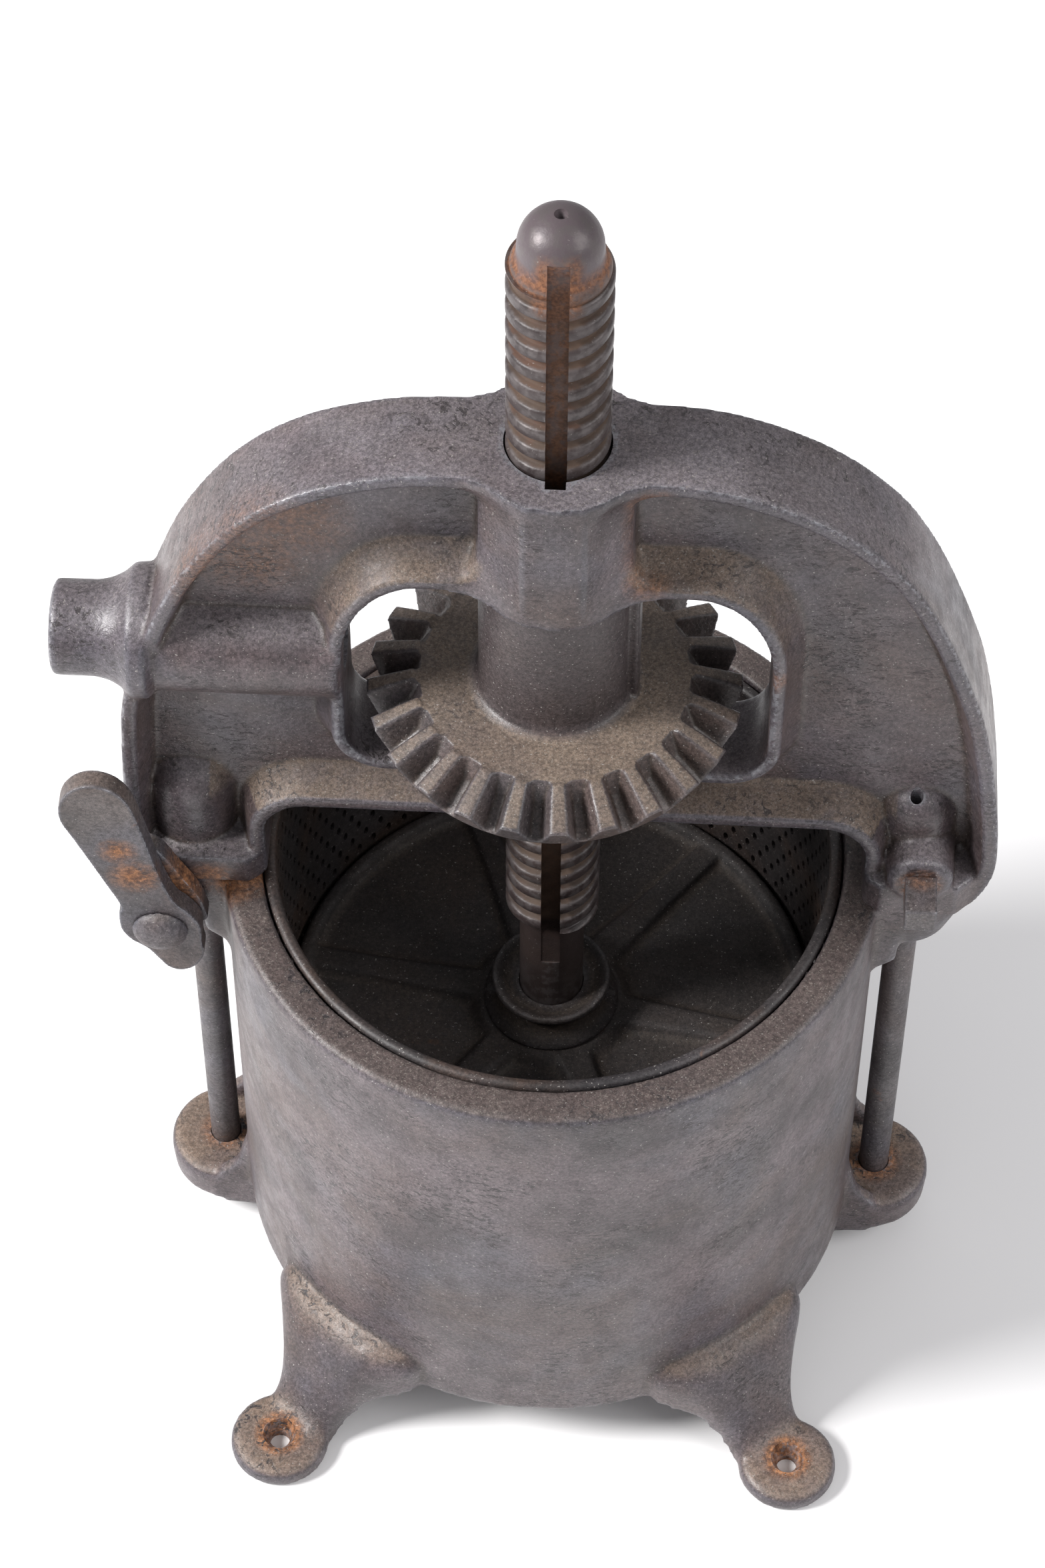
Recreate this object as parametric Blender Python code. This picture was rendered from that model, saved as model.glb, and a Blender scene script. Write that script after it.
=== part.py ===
# Hand-cranked screw press (sausage stuffer, lard and fruit press), built as separate castings and rods.
# Metres, +Z up. The feet stand on z = 0. All sizes below are in millimetres and are turned into metres by MM.
import math

import bpy
import bmesh
from mathutils import Matrix, Vector

for old in list(bpy.data.objects):
    bpy.data.objects.remove(old, do_unlink=True)

MM = 0.001
XC = 5.7            # screw axis, moved along X so that the box of the whole press is centred on the origin
H = 192.0            # rim plane above the floor
R_OUT = 98.0         # cylinder, outside
R_RIM = 86.7         # rim, inside
R_IN = 90.0          # cylinder, inside, below the rim
FLOOR_T = 32.0       # cylinder floor, upper face
SKIRT = 23.0         # lower edge of the cylinder between the feet
ROD_X = 106.4        # tie rods from the screw axis
ROD_R = 4.76         # 3/8 inch rods
FOOT_X, FOOT_Y = 80.8, 101.6   # screw holes of the feet
PAD_R = 15.5
EAR_R = 18.3
SCREW_R = 14.1       # 1 1/8 inch press screw
PITCH = 7.62         # 3.33 threads to the inch, single start, right hand
THREAD_D = 2.4
SLOT_W = 5.8
GAP = 0.3            # running and seating clearance between separate pieces
HEAD_Y = 14.8        # half width of the head's flange
CRANK_Z = 94.0       # crank bore above the rim
TEETH = 24
STRAIN_R = 84.2      # strainer sheet, outside
STRAIN_T = 1.2

SEG = 48


def shift(p):
    return Vector(((p[0] + XC) * MM, p[1] * MM, p[2] * MM))


def mesh_object(name, verts, faces):
    mesh = bpy.data.meshes.new(name)
    mesh.from_pydata([shift(v) for v in verts], [], faces)
    bm = bmesh.new()
    bm.from_mesh(mesh)
    bmesh.ops.remove_doubles(bm, verts=bm.verts, dist=1e-7)
    bmesh.ops.recalc_face_normals(bm, faces=bm.faces)
    if bm.calc_volume(signed=True) < 0:
        bmesh.ops.reverse_faces(bm, faces=bm.faces)
    bm.to_mesh(mesh)
    bm.free()
    obj = bpy.data.objects.new(name, mesh)
    bpy.context.scene.collection.objects.link(obj)
    return obj


def prism(name, outline, low, high, axis="Y"):
    """A polygon pushed along an axis. For Y the outline is (x, z), for Z it is (x, y), for X it is (y, z)."""
    put = {"Y": lambda a, b, t: (a, t, b), "Z": lambda a, b, t: (a, b, t), "X": lambda a, b,
        t: (t, a, b)}[axis]
    n = len(outline)
    verts = [put(a, b, low) for a, b in outline] + [put(a, b, high) for a, b in outline]
    faces = [tuple(range(n)), tuple(range(2 * n - 1, n - 1, -1))]
    faces += [(i, i + n, (i + 1) % n + n, (i + 1) % n) for i in range(n)]
    return mesh_object(name, verts, faces)


def box(name, x0, x1, y0, y1, z0, z1):
    return prism(name, [(x0, y0), (x1, y0), (x1, y1), (x0, y1)], z0, z1, "Z")


def loft(name, sections, axis="Y"):
    """Skins sections (place along the axis, outline) that have as many points each, and closes both ends."""
    put = {"Y": lambda a, b, t: (a, t, b), "Z": lambda a, b, t: (a, b, t)}[axis]
    n = len(sections[0][1])
    verts = [put(a, b, t) for t, outline in sections for a, b in outline]
    faces = [tuple(range(n)), tuple(range(len(verts) - 1, len(verts) - n - 1, -1))]
    for low in range(0, len(verts) - n, n):
        for i in range(n):
            j = (i + 1) % n
            faces += [(low + i, low + i + n, low + j + n), (low + i, low + j + n, low + j)]
    return mesh_object(name, verts, faces)


def lathe(name, profile, seg=SEG, axis="Z", at=(0, 0, 0)):
    """Turns (radius, height) points about an axis. A point of radius 0 closes an end."""
    put = {
        "Z": lambda r, a, h: (at[0] + r * math.cos(a), at[1] + r * math.sin(a), at[2] + h),
        "Y": lambda r, a, h: (at[0] + r * math.cos(a), at[1] + h, at[2] + r * math.sin(a)),
        "X": lambda r, a, h: (at[0] + h, at[1] + r * math.cos(a), at[2] + r * math.sin(a)),
    }[axis]
    verts, rings = [], []
    for r, h in profile:
        if r == 0:
            rings.append([len(verts)])
            verts.append(put(0, 0, h))
        else:
            rings.append(list(range(len(verts), len(verts) + seg)))
            verts += [put(r, 2 * math.pi * (i + 0.13) / seg, h) for i in range(seg)]
    faces = []
    closed = profile[0][0] != 0
    pairs = list(zip(rings, rings[1:])) + ([(rings[-1], rings[0])] if closed else [])
    for a, b in pairs:
        for i in range(seg):
            j = (i + 1) % seg
            if len(a) == 1:
                faces.append((a[0], b[j], b[i]))
            elif len(b) == 1:
                faces.append((a[i], a[j], b[0]))
            else:
                faces.append((a[i], a[j], b[j], b[i]))
    return mesh_object(name, verts, faces)


def apply(obj, operation, other):
    mod = obj.modifiers.new("cut", "BOOLEAN")
    mod.operation, mod.solver, mod.object = operation, "EXACT", other
    graph = bpy.context.evaluated_depsgraph_get()
    mesh = bpy.data.meshes.new_from_object(obj.evaluated_get(graph))
    obj.modifiers.clear()
    old = obj.data
    obj.data = mesh
    bpy.data.meshes.remove(old)
    bpy.data.objects.remove(other, do_unlink=True)


def join(obj, *others):
    for other in others:
        apply(obj, "UNION", other)
    return obj


def cut(obj, *others):
    for other in others:
        apply(obj, "DIFFERENCE", other)
    return obj


def inset(outline, by):
    """Moves each side of a counter-clockwise outline inwards."""
    out, n = [], len(outline)
    for i in range(n):
        p, q, r = Vector(outline[i - 1]), Vector(outline[i]), Vector(outline[(i + 1) % n])
        d1, d2 = (q - p).normalized(), (r - q).normalized()
        n1, n2 = Vector((-d1.y, d1.x)), Vector((-d2.y, d2.x))
        m = (n1 + n2).normalized()
        out.append(tuple(q + m * (by / max(0.35, m.dot(n1)))))
    return out


def arc(cx, cz, r, start, end, n):
    return [(cx + r * math.cos(math.radians(start + (end - start) * i / n)),
        cz + r * math.sin(math.radians(start + (end - start) * i / n))) for i in range(n + 1)]


def opening(x0, x1, z0, z1, rx, rz, r, n=5):
    """An outline with tall elliptic upper corners, rx by rz, and round lower corners."""
    corners = ((x1 - r, z0 + r, r, r, -90), (x1 - rx, z1 - rz, rx, rz, 0),
               (x0 + rx, z1 - rz, rx, rz, 90), (x0 + r, z0 + r, r, r, 180))
    outline = []
    for cx, cz, a, b, start in corners:
        turns = [math.radians(start + 90 * i / n) for i in range(n + 1)]
        outline += [(cx + a * math.cos(t), cz + b * math.sin(t)) for t in turns]
    return outline


def helix(name, crest, root, low, high, slack=0.0, seg=12):
    """A right-hand thread about the screw axis, closed at both ends a turn beyond low and high."""
    turns = int((high - low) / PITCH) + 4
    base = math.floor(low / PITCH) * PITCH - 2 * PITCH
    part = [(root, 0.10 * PITCH), (crest, 0.22 * PITCH - slack), (crest, 0.66 * PITCH + slack),
        (root, 0.78 * PITCH + slack)]
    part[0] = (root, 0.10 * PITCH - slack)
    cols = turns * seg + 1
    verts = []
    for i in range(cols):
        a = 2 * math.pi * i / seg
        for r, dz in part:
            verts.append((r * math.cos(a), r * math.sin(a), base + PITCH * i / seg + dz))
    faces = []
    for i in range(cols - 1):
        a, b = 4 * i, 4 * (i + 1)
        for k in range(3):
            faces.append((a + k, b + k, b + k + 1, a + k + 1))
        if i + 1 + seg < cols:
            c, d = 4 * (i + seg), 4 * (i + 1 + seg)
            faces.append((a + 3, b + 3, d, c))
    bottom, top = len(verts), len(verts) + 1
    verts.append((0, 0, base - PITCH))
    verts.append((0, 0, base + PITCH * (turns + 2)))
    last = cols - 1
    for i in range(seg):
        faces.append((4 * i, 4 * (i + 1), bottom))
        j = last - seg + i
        faces.append((4 * j + 3, 4 * (j + 1) + 3, top))
    ends = [0, 1, 2, 3]
    for k in range(3):
        faces.append((bottom, ends[k], ends[k + 1]))
        faces.append((top, 4 * last + k, 4 * last + k + 1))
    faces.append((bottom, 3, 4 * seg))
    faces.append((top, 4 * last, 4 * (last - seg) + 3))
    return mesh_object(name, verts, faces)


def paint(obj, name, colour, metallic, rough):
    mat = bpy.data.materials.new(name)
    mat.use_nodes = True
    shader = mat.node_tree.nodes["Principled BSDF"]
    shader.inputs["Base Color"].default_value = (*colour, 1.0)
    shader.inputs["Metallic"].default_value = metallic
    shader.inputs["Roughness"].default_value = rough
    obj.data.materials.clear()
    obj.data.materials.append(mat)
    for face in obj.data.polygons:
        face.material_index = 0


def finish(obj, colour, metallic=0.55, rough=0.55, origin=(0, 0, 0), angle=35):
    for merge, flat in ((1.2e-5, 0.4), (2e-5, 0.2), (5e-6, 0.4), (1.2e-5, 0), (5e-6, 0), (1e-6, 0)):
        bm = bmesh.new()
        bm.from_mesh(obj.data)
        bmesh.ops.remove_doubles(bm, verts=bm.verts, dist=merge)
        bmesh.ops.dissolve_degenerate(bm, edges=bm.edges, dist=merge)
        if flat:
            bmesh.ops.dissolve_limit(bm, angle_limit=math.radians(flat), use_dissolve_boundaries=False,
                verts=bm.verts, edges=bm.edges)
        bmesh.ops.triangulate(bm, faces=bm.faces)
        whole = all(len(edge.link_faces) == 2 for edge in bm.edges)
        if whole:
            bm.to_mesh(obj.data)
            bm.free()
            break
        bm.free()
    else:
        print("not closed:", obj.name)
    at = shift(origin)
    obj.data.transform(Matrix.Translation(-at))
    obj.location = at
    paint(obj, obj.name, colour, metallic, rough)
    obj.data.shade_smooth()
    obj.data.set_sharp_from_angle(angle=math.radians(angle))
    return obj


IRON = (0.075, 0.072, 0.075)
IRON_BROWN = (0.085, 0.075, 0.068)
STEEL = (0.16, 0.14, 0.13)
TIN = (0.12, 0.10, 0.09)

# ---------------------------------------------------------------- cylinder casting
body = lathe("cylinder_casting", [
    (0, FLOOR_T), (R_IN - 4, FLOOR_T), (R_IN, FLOOR_T + 4), (R_IN, H - 16), (R_RIM, H - 12), (R_RIM, H),
    (95.2, H), (97.2, H - 0.9),
    (R_OUT, H - 3), (R_OUT, SKIRT + 1), (R_OUT - 1.5, SKIRT), (0, SKIRT)])

# Feet: a sloping shoulder on the wall, a leg and a round pad.
LEG = [(91, 29, 42.5, 25), (98, 28, 42, 23.6), (104, 22, 39.5, 21), (109, 17, 33, 15), (113, 13.8, 24, 8),
    (117, 12.2, 15, 1.5), (122, 11.8, 8.5, 0.4), (128, 12.4, 6.6, 0.4)]


def leg(name, angle):
    c, s = math.cos(angle), math.sin(angle)
    verts, faces = [], []
    for r, w, zt, zb in LEG:
        k = min(7.0, (zt - zb) * 0.45)
        for t, z in ((-w, zb), (-w, zt - k), (-w * 0.86, zt - k * 0.35), (-w * 0.62, zt), (w * 0.62, zt),
                (w * 0.86, zt - k * 0.35), (w, zt - k), (w, zb)):
            verts.append((r * c - t * s, r * s + t * c, z))
    n = 8
    for i in range(len(LEG) - 1):
        for k in range(n):
            a, b = i * n + k, i * n + (k + 1) % n
            faces.append((a, b, b + n, a + n))
    faces.append(tuple(range(n)))
    faces.append(tuple(range(len(verts) - 1, len(verts) - n - 1, -1)))
    return mesh_object(name, verts, faces)


for sx in (-1, 1):
    for sy in (-1, 1):
        fx, fy = sx * FOOT_X, sy * FOOT_Y
        join(body, leg("leg", math.atan2(fy, fx)))
        join(body, lathe("pad", [(0, 7), (PAD_R - 2.0, 7), (PAD_R, 5), (PAD_R, 1.0), (PAD_R - 1, 0),
            (0, 0)], 24, at=(fx, fy, 0)))

for sx in (-1, 1):
    # lower ear, with a raised web on each side
    join(body, lathe("ear", [(0, 25), (EAR_R - 2.5, 25), (EAR_R - 0.7, 24), (EAR_R, 22), (EAR_R - 0.6, 12),
        (EAR_R - 3, 9), (0, 9)], 24, at=(sx * (ROD_X - 0.4), 0, 0)))
    join(body, prism("ear_neck", [(sx * 91.5, -19.5), (sx * 97.4, -19), (sx * 106, -18.1),
        (sx * 106, 18.1), (sx * 97.4, 19), (sx * 91.5, 19.5)][::sx], 9.2, 24.9, "Z"))
    for sy in (-1, 1):
        join(body, prism("web", [(sx * 91, 12), (sx * 91, 52), (sx * 97.6, 44), (sx * 101, 33),
            (sx * 107, 25.5), (sx * 109, 12)], sy * 16 - 2.6, sy * 16 + 2.6))
    # upper lug
    join(body, lathe("lug", [(0, H), (16.8, H), (17.8, H - 1), (17.4, H - 11), (13.6, H - 23),
        (9.5, H - 28), (0, H - 28)], 24, at=(sx * ROD_X, 0, 0)))
    join(body, prism("lug_neck", [(sx * 92.2, H - 38), (sx * 104, H - 27.8), (sx * 104, H - 0.02),
        (sx * 92.2, H - 0.02)], -17.6, 17.6))

# outlet neck at the back, over the cylinder's floor
join(body, lathe("neck", [(0, 88), (19, 88), (19, 103), (21.5, 106), (21.5, 115), (20.5, 116), (0, 116)],
    28, "Y", (0, 0, 53)))

cuts = [lathe("bore", [(0, 80), (13.5, 80), (13.5, 118), (0, 118)], 24, "Y", (0, 0, 53))]
for sx in (-1, 1):
    cuts.append(lathe("rod_hole", [(0, 5), (ROD_R + GAP, 5), (ROD_R + GAP, H + 4), (0, H + 4)], 20,
        at=(sx * ROD_X, 0, 0)))
    cuts.append(lathe("nut_seat", [(0, 5), (9.4, 5), (9.4, 12.5), (0, 12.5)], 24, at=(sx * ROD_X, 0, 0)))
    for sy in (-1, 1):
        cuts.append(lathe("foot_hole", [(0, -2), (3.2, -2), (3.2, 3.2), (5.4, 7.4), (5.4, 12), (0, 12)],
            16, at=(sx * FOOT_X, sy * FOOT_Y, 0)))
cut(body, *cuts)
# pivot hole of the clamp, in the front of the left lug
cut(body, lathe("pivot_hole", [(0, -30), (3.3, -30), (3.3, -8), (0, -8)], 16, "Y", (-114.7, 0, H - 8)))
finish(body, IRON)

# ---------------------------------------------------------------- strainer
strainer = lathe("strainer_sleeve", [
    (STRAIN_R - STRAIN_T, FLOOR_T + GAP), (STRAIN_R, FLOOR_T + GAP), (STRAIN_R, H - 4.6),
    (STRAIN_R - STRAIN_T, H - 4.6)], SEG)
COLS, ROWS = 18, 4
holes_v, holes_f = [], []
for row in range(ROWS):
    for col in range(COLS):
        a = 2 * math.pi * (col + 0.5 * (row % 2)) / COLS
        z = H - 18 - row * 36.0
        c, s = math.cos(a), math.sin(a)
        base = len(holes_v)
        shape = [(-1.3, -2.2), (1.3, -2.2), (1.3, 2.2), (-1.3, 2.2)]
        for r in (STRAIN_R - 3.2, STRAIN_R + 2):
            for t, dz in shape:
                holes_v.append((r * c - t * s, r * s + t * c, z + dz))
        n = len(shape)
        holes_f.append(tuple(base + k for k in range(n)))
        holes_f.append(tuple(base + n + k for k in range(n - 1, -1, -1)))
        holes_f += [(base + k, base + (k + 1) % n, base + n + (k + 1) % n, base + n + k) for k in range(n)]
holes = mesh_object("holes", holes_v, holes_f)
cut(strainer, holes)
finish(strainer, TIN, 0.6, 0.5)

ring_profile = [(84.35 + 1.9 * math.cos(math.radians(t)),
    H - 2.2 + 1.9 * math.sin(math.radians(t))) for t in range(0, 360, 60)]
ring = lathe("strainer_rolled_edge", ring_profile, SEG)
finish(ring, TIN, 0.6, 0.5, angle=60)

# ---------------------------------------------------------------- press screw
SCREW_LOW, SCREW_TOP = H - 28.0, H + 249.4
screw = helix("press_screw", SCREW_R, SCREW_R - THREAD_D, SCREW_LOW, SCREW_TOP)
cut(screw, box("trim_low", -30, 30, -30, 30, SCREW_LOW - 60, SCREW_LOW),
    box("trim_top", -30, 30, -30, 30, SCREW_TOP, SCREW_TOP + 60))
NECK_R = 9.8
shank = lathe("shank", [(0, H - 96), (6.2, H - 96), (6.2, H - 79.6), (NECK_R, H - 79.6), (NECK_R, H - 32),
    (11.4, H - 27), (11.4, H - 20), (0, H - 20)], 24)
DOME_R, DOME_Z = 11.3, SCREW_TOP + 6.4
dome = [(0, SCREW_TOP - 8), (DOME_R, SCREW_TOP - 8), (DOME_R, DOME_Z)]
dome += [(DOME_R * math.cos(math.radians(t)), DOME_Z + DOME_R * math.sin(math.radians(t))) for t in (18,
    36, 52, 66, 78)] + [(0, DOME_Z + DOME_R)]
join(screw, shank, lathe("dome", dome, 24))
cut(screw, prism("slot", [(-19, SCREW_LOW - 20), (-9.2, SCREW_LOW - 20), (-9.2, SCREW_TOP + 8),
    (-8.6, DOME_Z + 10), (-19, DOME_Z + 10)], -SLOT_W / 2, SLOT_W / 2, "X"))
cut(screw, lathe("centre", [(0, DOME_Z + DOME_R - 3), (1.1, DOME_Z + DOME_R - 2),
    (1.6, DOME_Z + DOME_R + 1), (0, DOME_Z + DOME_R + 1)], 12))
finish(screw, STEEL, 0.7, 0.45, angle=40)

# ---------------------------------------------------------------- presser plate, its hub and its fastening
PLATE_R = 81.4
PLATE_TOP, PLATE_LOW = H - 80.0, H - 92.0
plate = lathe("presser_plate", [
    (0, PLATE_TOP - 3), (PLATE_R - 5, PLATE_TOP - 3), (PLATE_R - 5, PLATE_TOP), (PLATE_R - 1, PLATE_TOP),
    (PLATE_R, PLATE_TOP - 1), (PLATE_R, PLATE_LOW + 1), (PLATE_R - 1, PLATE_LOW), (0, PLATE_LOW)])
for k in range(6):
    a = math.radians(51 + 60 * k)
    c, s = math.cos(a), math.sin(a)
    v = []
    for r, w, zt in ((6, 8.0, PLATE_TOP), (30, 6.0, PLATE_TOP), (55, 5.0, PLATE_TOP - 0.6),
            (PLATE_R - 3.5, 5.0, PLATE_TOP - 0.9)):
        for t, z in ((-w, PLATE_LOW + 3), (-w, zt - 2.4), (-w * 0.7, zt), (w * 0.7, zt), (w, zt - 2.4),
                (w, PLATE_LOW + 3)):
            v.append((r * c - t * s, r * s + t * c, z))
    f = [(i * 6 + j, i * 6 + (j + 1) % 6, (i + 1) * 6 + (j + 1) % 6,
        (i + 1) * 6 + j) for i in range(3) for j in range(6)]
    f += [tuple(range(6)), tuple(range(23, 17, -1))]
    join(plate, mesh_object("rib", v, f))
join(plate, lathe("pad", [(0, PLATE_TOP + 0.2), (22, PLATE_TOP + 0.2), (25, PLATE_TOP - 2),
    (25, PLATE_LOW + 2), (0, PLATE_LOW + 2)], 36))
cut(plate, lathe("bore", [(0, PLATE_LOW - 5), (6.5, PLATE_LOW - 5), (6.5, PLATE_TOP + 5),
    (0, PLATE_TOP + 5)], 24))
finish(plate, IRON_BROWN, 0.4, 0.7)

hub = lathe("plate_hub_collar", [
    (NECK_R + GAP, PLATE_TOP + 0.6), (20.0, PLATE_TOP + 0.6), (20.4, PLATE_TOP + 2.0),
    (17.6, PLATE_TOP + 4.4), (16.2, PLATE_TOP + 8.0), (18.3, PLATE_TOP + 10.6),
    (18.3, PLATE_TOP + 12.4), (16.9, PLATE_TOP + 12.8), (13.4, PLATE_TOP + 10.0),
    (NECK_R + GAP, PLATE_TOP + 9.4)], 32)
cut(hub, lathe("pin_hole", [(0, -25), (2.3, -25), (2.3, 25), (0, 25)], 12, "X", (0, 0, PLATE_TOP + 4.6)))
cut(screw, lathe("pin_hole", [(0, -25), (2.3, -25), (2.3, 25), (0, 25)], 12, "X", (0, 0, PLATE_TOP + 4.6)))
finish(hub, IRON_BROWN, 0.4, 0.6)
pin = lathe("hub_cross_pin", [(0, -16.6), (1.6, -16.6), (2.0, -16.2), (2.0, 16.2), (1.6, 16.6), (0, 16.6)],
    12, "X", (0, 0, PLATE_TOP + 4.6))
finish(pin, STEEL, 0.7, 0.45)
washer = lathe("plate_washer", [(6.6, PLATE_LOW - 2.1), (13, PLATE_LOW - 2.1), (13, PLATE_LOW - GAP),
    (6.6, PLATE_LOW - GAP)], 24)
finish(washer, STEEL, 0.7, 0.5)
nut = lathe("plate_nut", [(0, PLATE_LOW - 8.4), (10.6, PLATE_LOW - 8.4), (11.4, PLATE_LOW - 7.6),
    (11.4, PLATE_LOW - 3.2), (10.6, PLATE_LOW - 2.4), (0, PLATE_LOW - 2.4)], 6)
cut(nut, lathe("bore", [(0, PLATE_LOW - 20), (6.5, PLATE_LOW - 20), (6.5, PLATE_LOW + 5),
    (0, PLATE_LOW + 5)], 24))
finish(nut, STEEL, 0.7, 0.5, angle=20)

# ---------------------------------------------------------------- gear nut
G = H + 82.5         # flat ring of the gear
HUB_TOP = H + 131.0
GEAR_TURN = 4.0      # where the teeth stand at rest, degrees
rings = []
N4 = TEETH * 4
for kind in ("low", "rim", "out", "in", "ring", "base"):
    ring_pts = []
    for i in range(N4):
        tooth, k = divmod(i, 4)
        tip = k in (1, 2)
        frac = {0: 0.10, 1: 0.32, 2: 0.68, 3: 0.90}[k] if kind in ("out", "in") else k / 4 + 0.125
        a = 2 * math.pi * (tooth + frac + 0.5) / TEETH + math.radians(GEAR_TURN - 90)
        r, z = {
            "low": (44.0, G - 15.0), "rim": (53.0, G - 12.4),
            "out": (54.0, G - 4.6) if tip else (53.4, G - 10.6),
            "in": (40.2, G + 0.9) if tip else (41.8, G - 4.2),
            "ring": (38.6, G), "base": (25.0, G)}[kind]
        ring_pts.append((r * math.cos(a), r * math.sin(a), z))
    rings.append(ring_pts)
verts = [p for r in rings for p in r]
faces = []
for i in range(len(rings) - 1):
    for k in range(N4):
        a, b = i * N4 + k, i * N4 + (k + 1) % N4
        faces.append((a, b, b + N4, a + N4))
verts += [(0, 0, G - 15.0), (0, 0, G)]
for k in range(N4):
    faces.append((k, len(verts) - 2, (k + 1) % N4))
    faces.append(((len(rings) - 1) * N4 + k, (len(rings) - 1) * N4 + (k + 1) % N4, len(verts) - 1))
gear = mesh_object("gear_nut", verts, faces)
join(gear, lathe("hub", [(0, G - 2), (24.2, G - 2), (24.2, G + 0.4), (22.3, G + 1.4), (21.7, G + 3.4),
    (21.7, HUB_TOP - 1), (20.9, HUB_TOP), (0, HUB_TOP)], 32))
join(gear, lathe("under", [(0, G - 21.6), (19, G - 21.6), (19.8, G - 20.8), (19.8, G - 10), (0, G - 10)],
    36))
rib = prism("rib", [(20.2, -1.9), (24.4, -1.9), (24.4, 1.9), (20.2, 1.9)], G - 1, HUB_TOP - 6, "Z")
rib.data.transform(Matrix.Translation(-shift((0, 0, 0))))
rib.data.transform(Matrix.Rotation(math.radians(-14), 4, "Z"))
rib.data.transform(Matrix.Translation(shift((0, 0, 0))))
join(gear, rib)
cutter = helix("thread", SCREW_R + 0.72, SCREW_R - THREAD_D + 0.56, G - 30, HUB_TOP + 8, 0.3)
cut(cutter, box("a", -30, 30, -30, 30, G - 90, G - 26), box("b", -30, 30, -30, 30, HUB_TOP + 4,
    HUB_TOP + 70))
cut(gear, cutter)
finish(gear, IRON, 0.5, 0.6, angle=28)

thrust = lathe("thrust_washer", [(15.1, G - 24.0), (20.2, G - 24.0), (20.2, G - 21.9), (15.1, G - 21.9)],
    36)
finish(thrust, STEEL, 0.7, 0.45)

# ---------------------------------------------------------------- head casting
ARCH = [(0, 181.5), (-30, 181.5), (-44, 180.2), (-56, 177.0), (-65, 173.6), (-73, 169.2), (-81, 163.4),
    (-89, 155.4), (-97, 144.6), (-105, 130.4), (-111, 115.5),
        (-116, 100), (-120, 86), (-122.4, 74), (-123.6, 56), (-124.3, 38), (-124.5, 18), (-123.4, 8),
    (-120.2, -4)]
ARCH_R = [(122.9, -4), (128.2, 8), (130.0, 18), (129.3, 32), (128, 44), (125.2, 64), (121.2, 84),
    (117, 98), (112.8, 110), (108.6, 121), (103.4, 132.4), (97.2, 143.6), (91, 151.6),
          (83.2, 159.6), (73.7, 167.0), (64.5, 172.3), (55.3, 176.4), (45, 179.6), (30, 181.5)]
OPENING = [(-84, -4), (-84, 18), (-82.6, 26), (-78.5, 31), (-72, 32.8), (78, 32.8), (85, 31), (90, 25),
    (91.8, 16), (91.8, -4)]
outline = [(x, H + z) for x, z in ARCH + OPENING + ARCH_R]      # counter-clockwise seen from the front
outer = outline
area = sum(a[0] * b[1] - b[0] * a[1] for a, b in zip(outer, outer[1:] + outer[:1]))
if area < 0:
    outer = outer[::-1]
inner = inset(outer, 5.4)
head = prism("head_casting", outer, -HEAD_Y, HEAD_Y)
cut(head, prism("in_front", inner, -30, -3.4), prism("in_back", inner, 3.4, 30))
WX0, WX1, WZ0, WZ1 = -59.0, 61.0, H + 55.5, H + 133.7        # window in the web
lip = opening(WX0 - 3.8, WX1 + 3.8, WZ0 - 3.8, WZ1 + 4.6, 25.5, 36, 15)
root = opening(WX0 - 8.6, WX1 + 8.6, WZ0 - 9, WZ1 + 10, 28, 40, 20)
join(head, loft("window_rim", [(-14.1, lip), (-3, root), (3, root), (14.1, lip)]))
cut(head, prism("window", opening(WX0, WX1, WZ0, WZ1, 23, 33, 12), -40, 40))

# A quarter of the column's section, of the flare at its top and of the flare over the window
STEM = [(0, -24.6), (8.4, -24.6), (12.5, -20.6), (16.5, -16.6), (18.5, -15.2), (20.5, -13.9), (21.5, 0)]
CAP = [(0, -25.0), (8.0, -24.0), (13.5, -21.0), (18.5, -17.0), (24.0, -14.7), (31.0, -14.2), (31.0, 0)]
FOOT = [(0, -25.0), (8.0, -24.0), (13.5, -21.0), (17.5, -17.7), (21.0, -15.2), (23.5, -14.2), (23.5, 0)]
FLATTER = 0.1        # behind, the middle of the column stands out this share less


def column_section(flare, share):
    """The column's whole outline, share of the way from the stem to a flare."""
    quarter = [(a + (c - a) * share, b + (d - b) * share) for (a, b), (c, d) in zip(STEM, flare)]
    back = [(x, -y * (1 - FLATTER * max(0, 1 - x / 24))) for x, y in quarter[-2::-1]]
    right = quarter + back
    return right + [(-x, y) for x, y in right[-2:0:-1]]


join(head, loft("column", [
    (H + 131.6, column_section(FOOT, 1.0)), (H + 134.0, column_section(CAP, 1.0)),
    (H + 138.5, column_section(CAP, 0.55)), (H + 144.0, column_section(CAP, 0.15)),
    (H + 151.0, column_section(CAP, 0.0)), (H + 168.0, column_section(CAP, 0.0)),
    (H + 174.0, column_section(CAP, 0.3)), (H + 178.0, column_section(CAP, 0.85)),
    (H + 181.4, column_section(CAP, 1.0))], "Z"))
join(head, lathe("tube", [(0, -141.5), (12.7, -141.5), (13.7, -140.5), (13.7, -129), (15.4, -123.5),
    (19.5, -118.6), (19.5, -114), (16.8, -112), (16.8, -60), (0, -60)], 28, "X", (0, 0, H + CRANK_Z)))
# sockets for the rods
for sx, r, top in ((-1, 12.6, 28.4), (1, 11.0, 30.0)):
    dome = [(0, -3), (r + 0.6, -3), (r + 0.4, 20)]
    dome += [(r * math.cos(math.radians(t)), top + r * math.sin(math.radians(t))) for t in (0, 25, 48, 68)]
    join(head, lathe("socket", dome + [(0, top + r)], 20, at=(sx * ROD_X, 0, H)))
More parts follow.
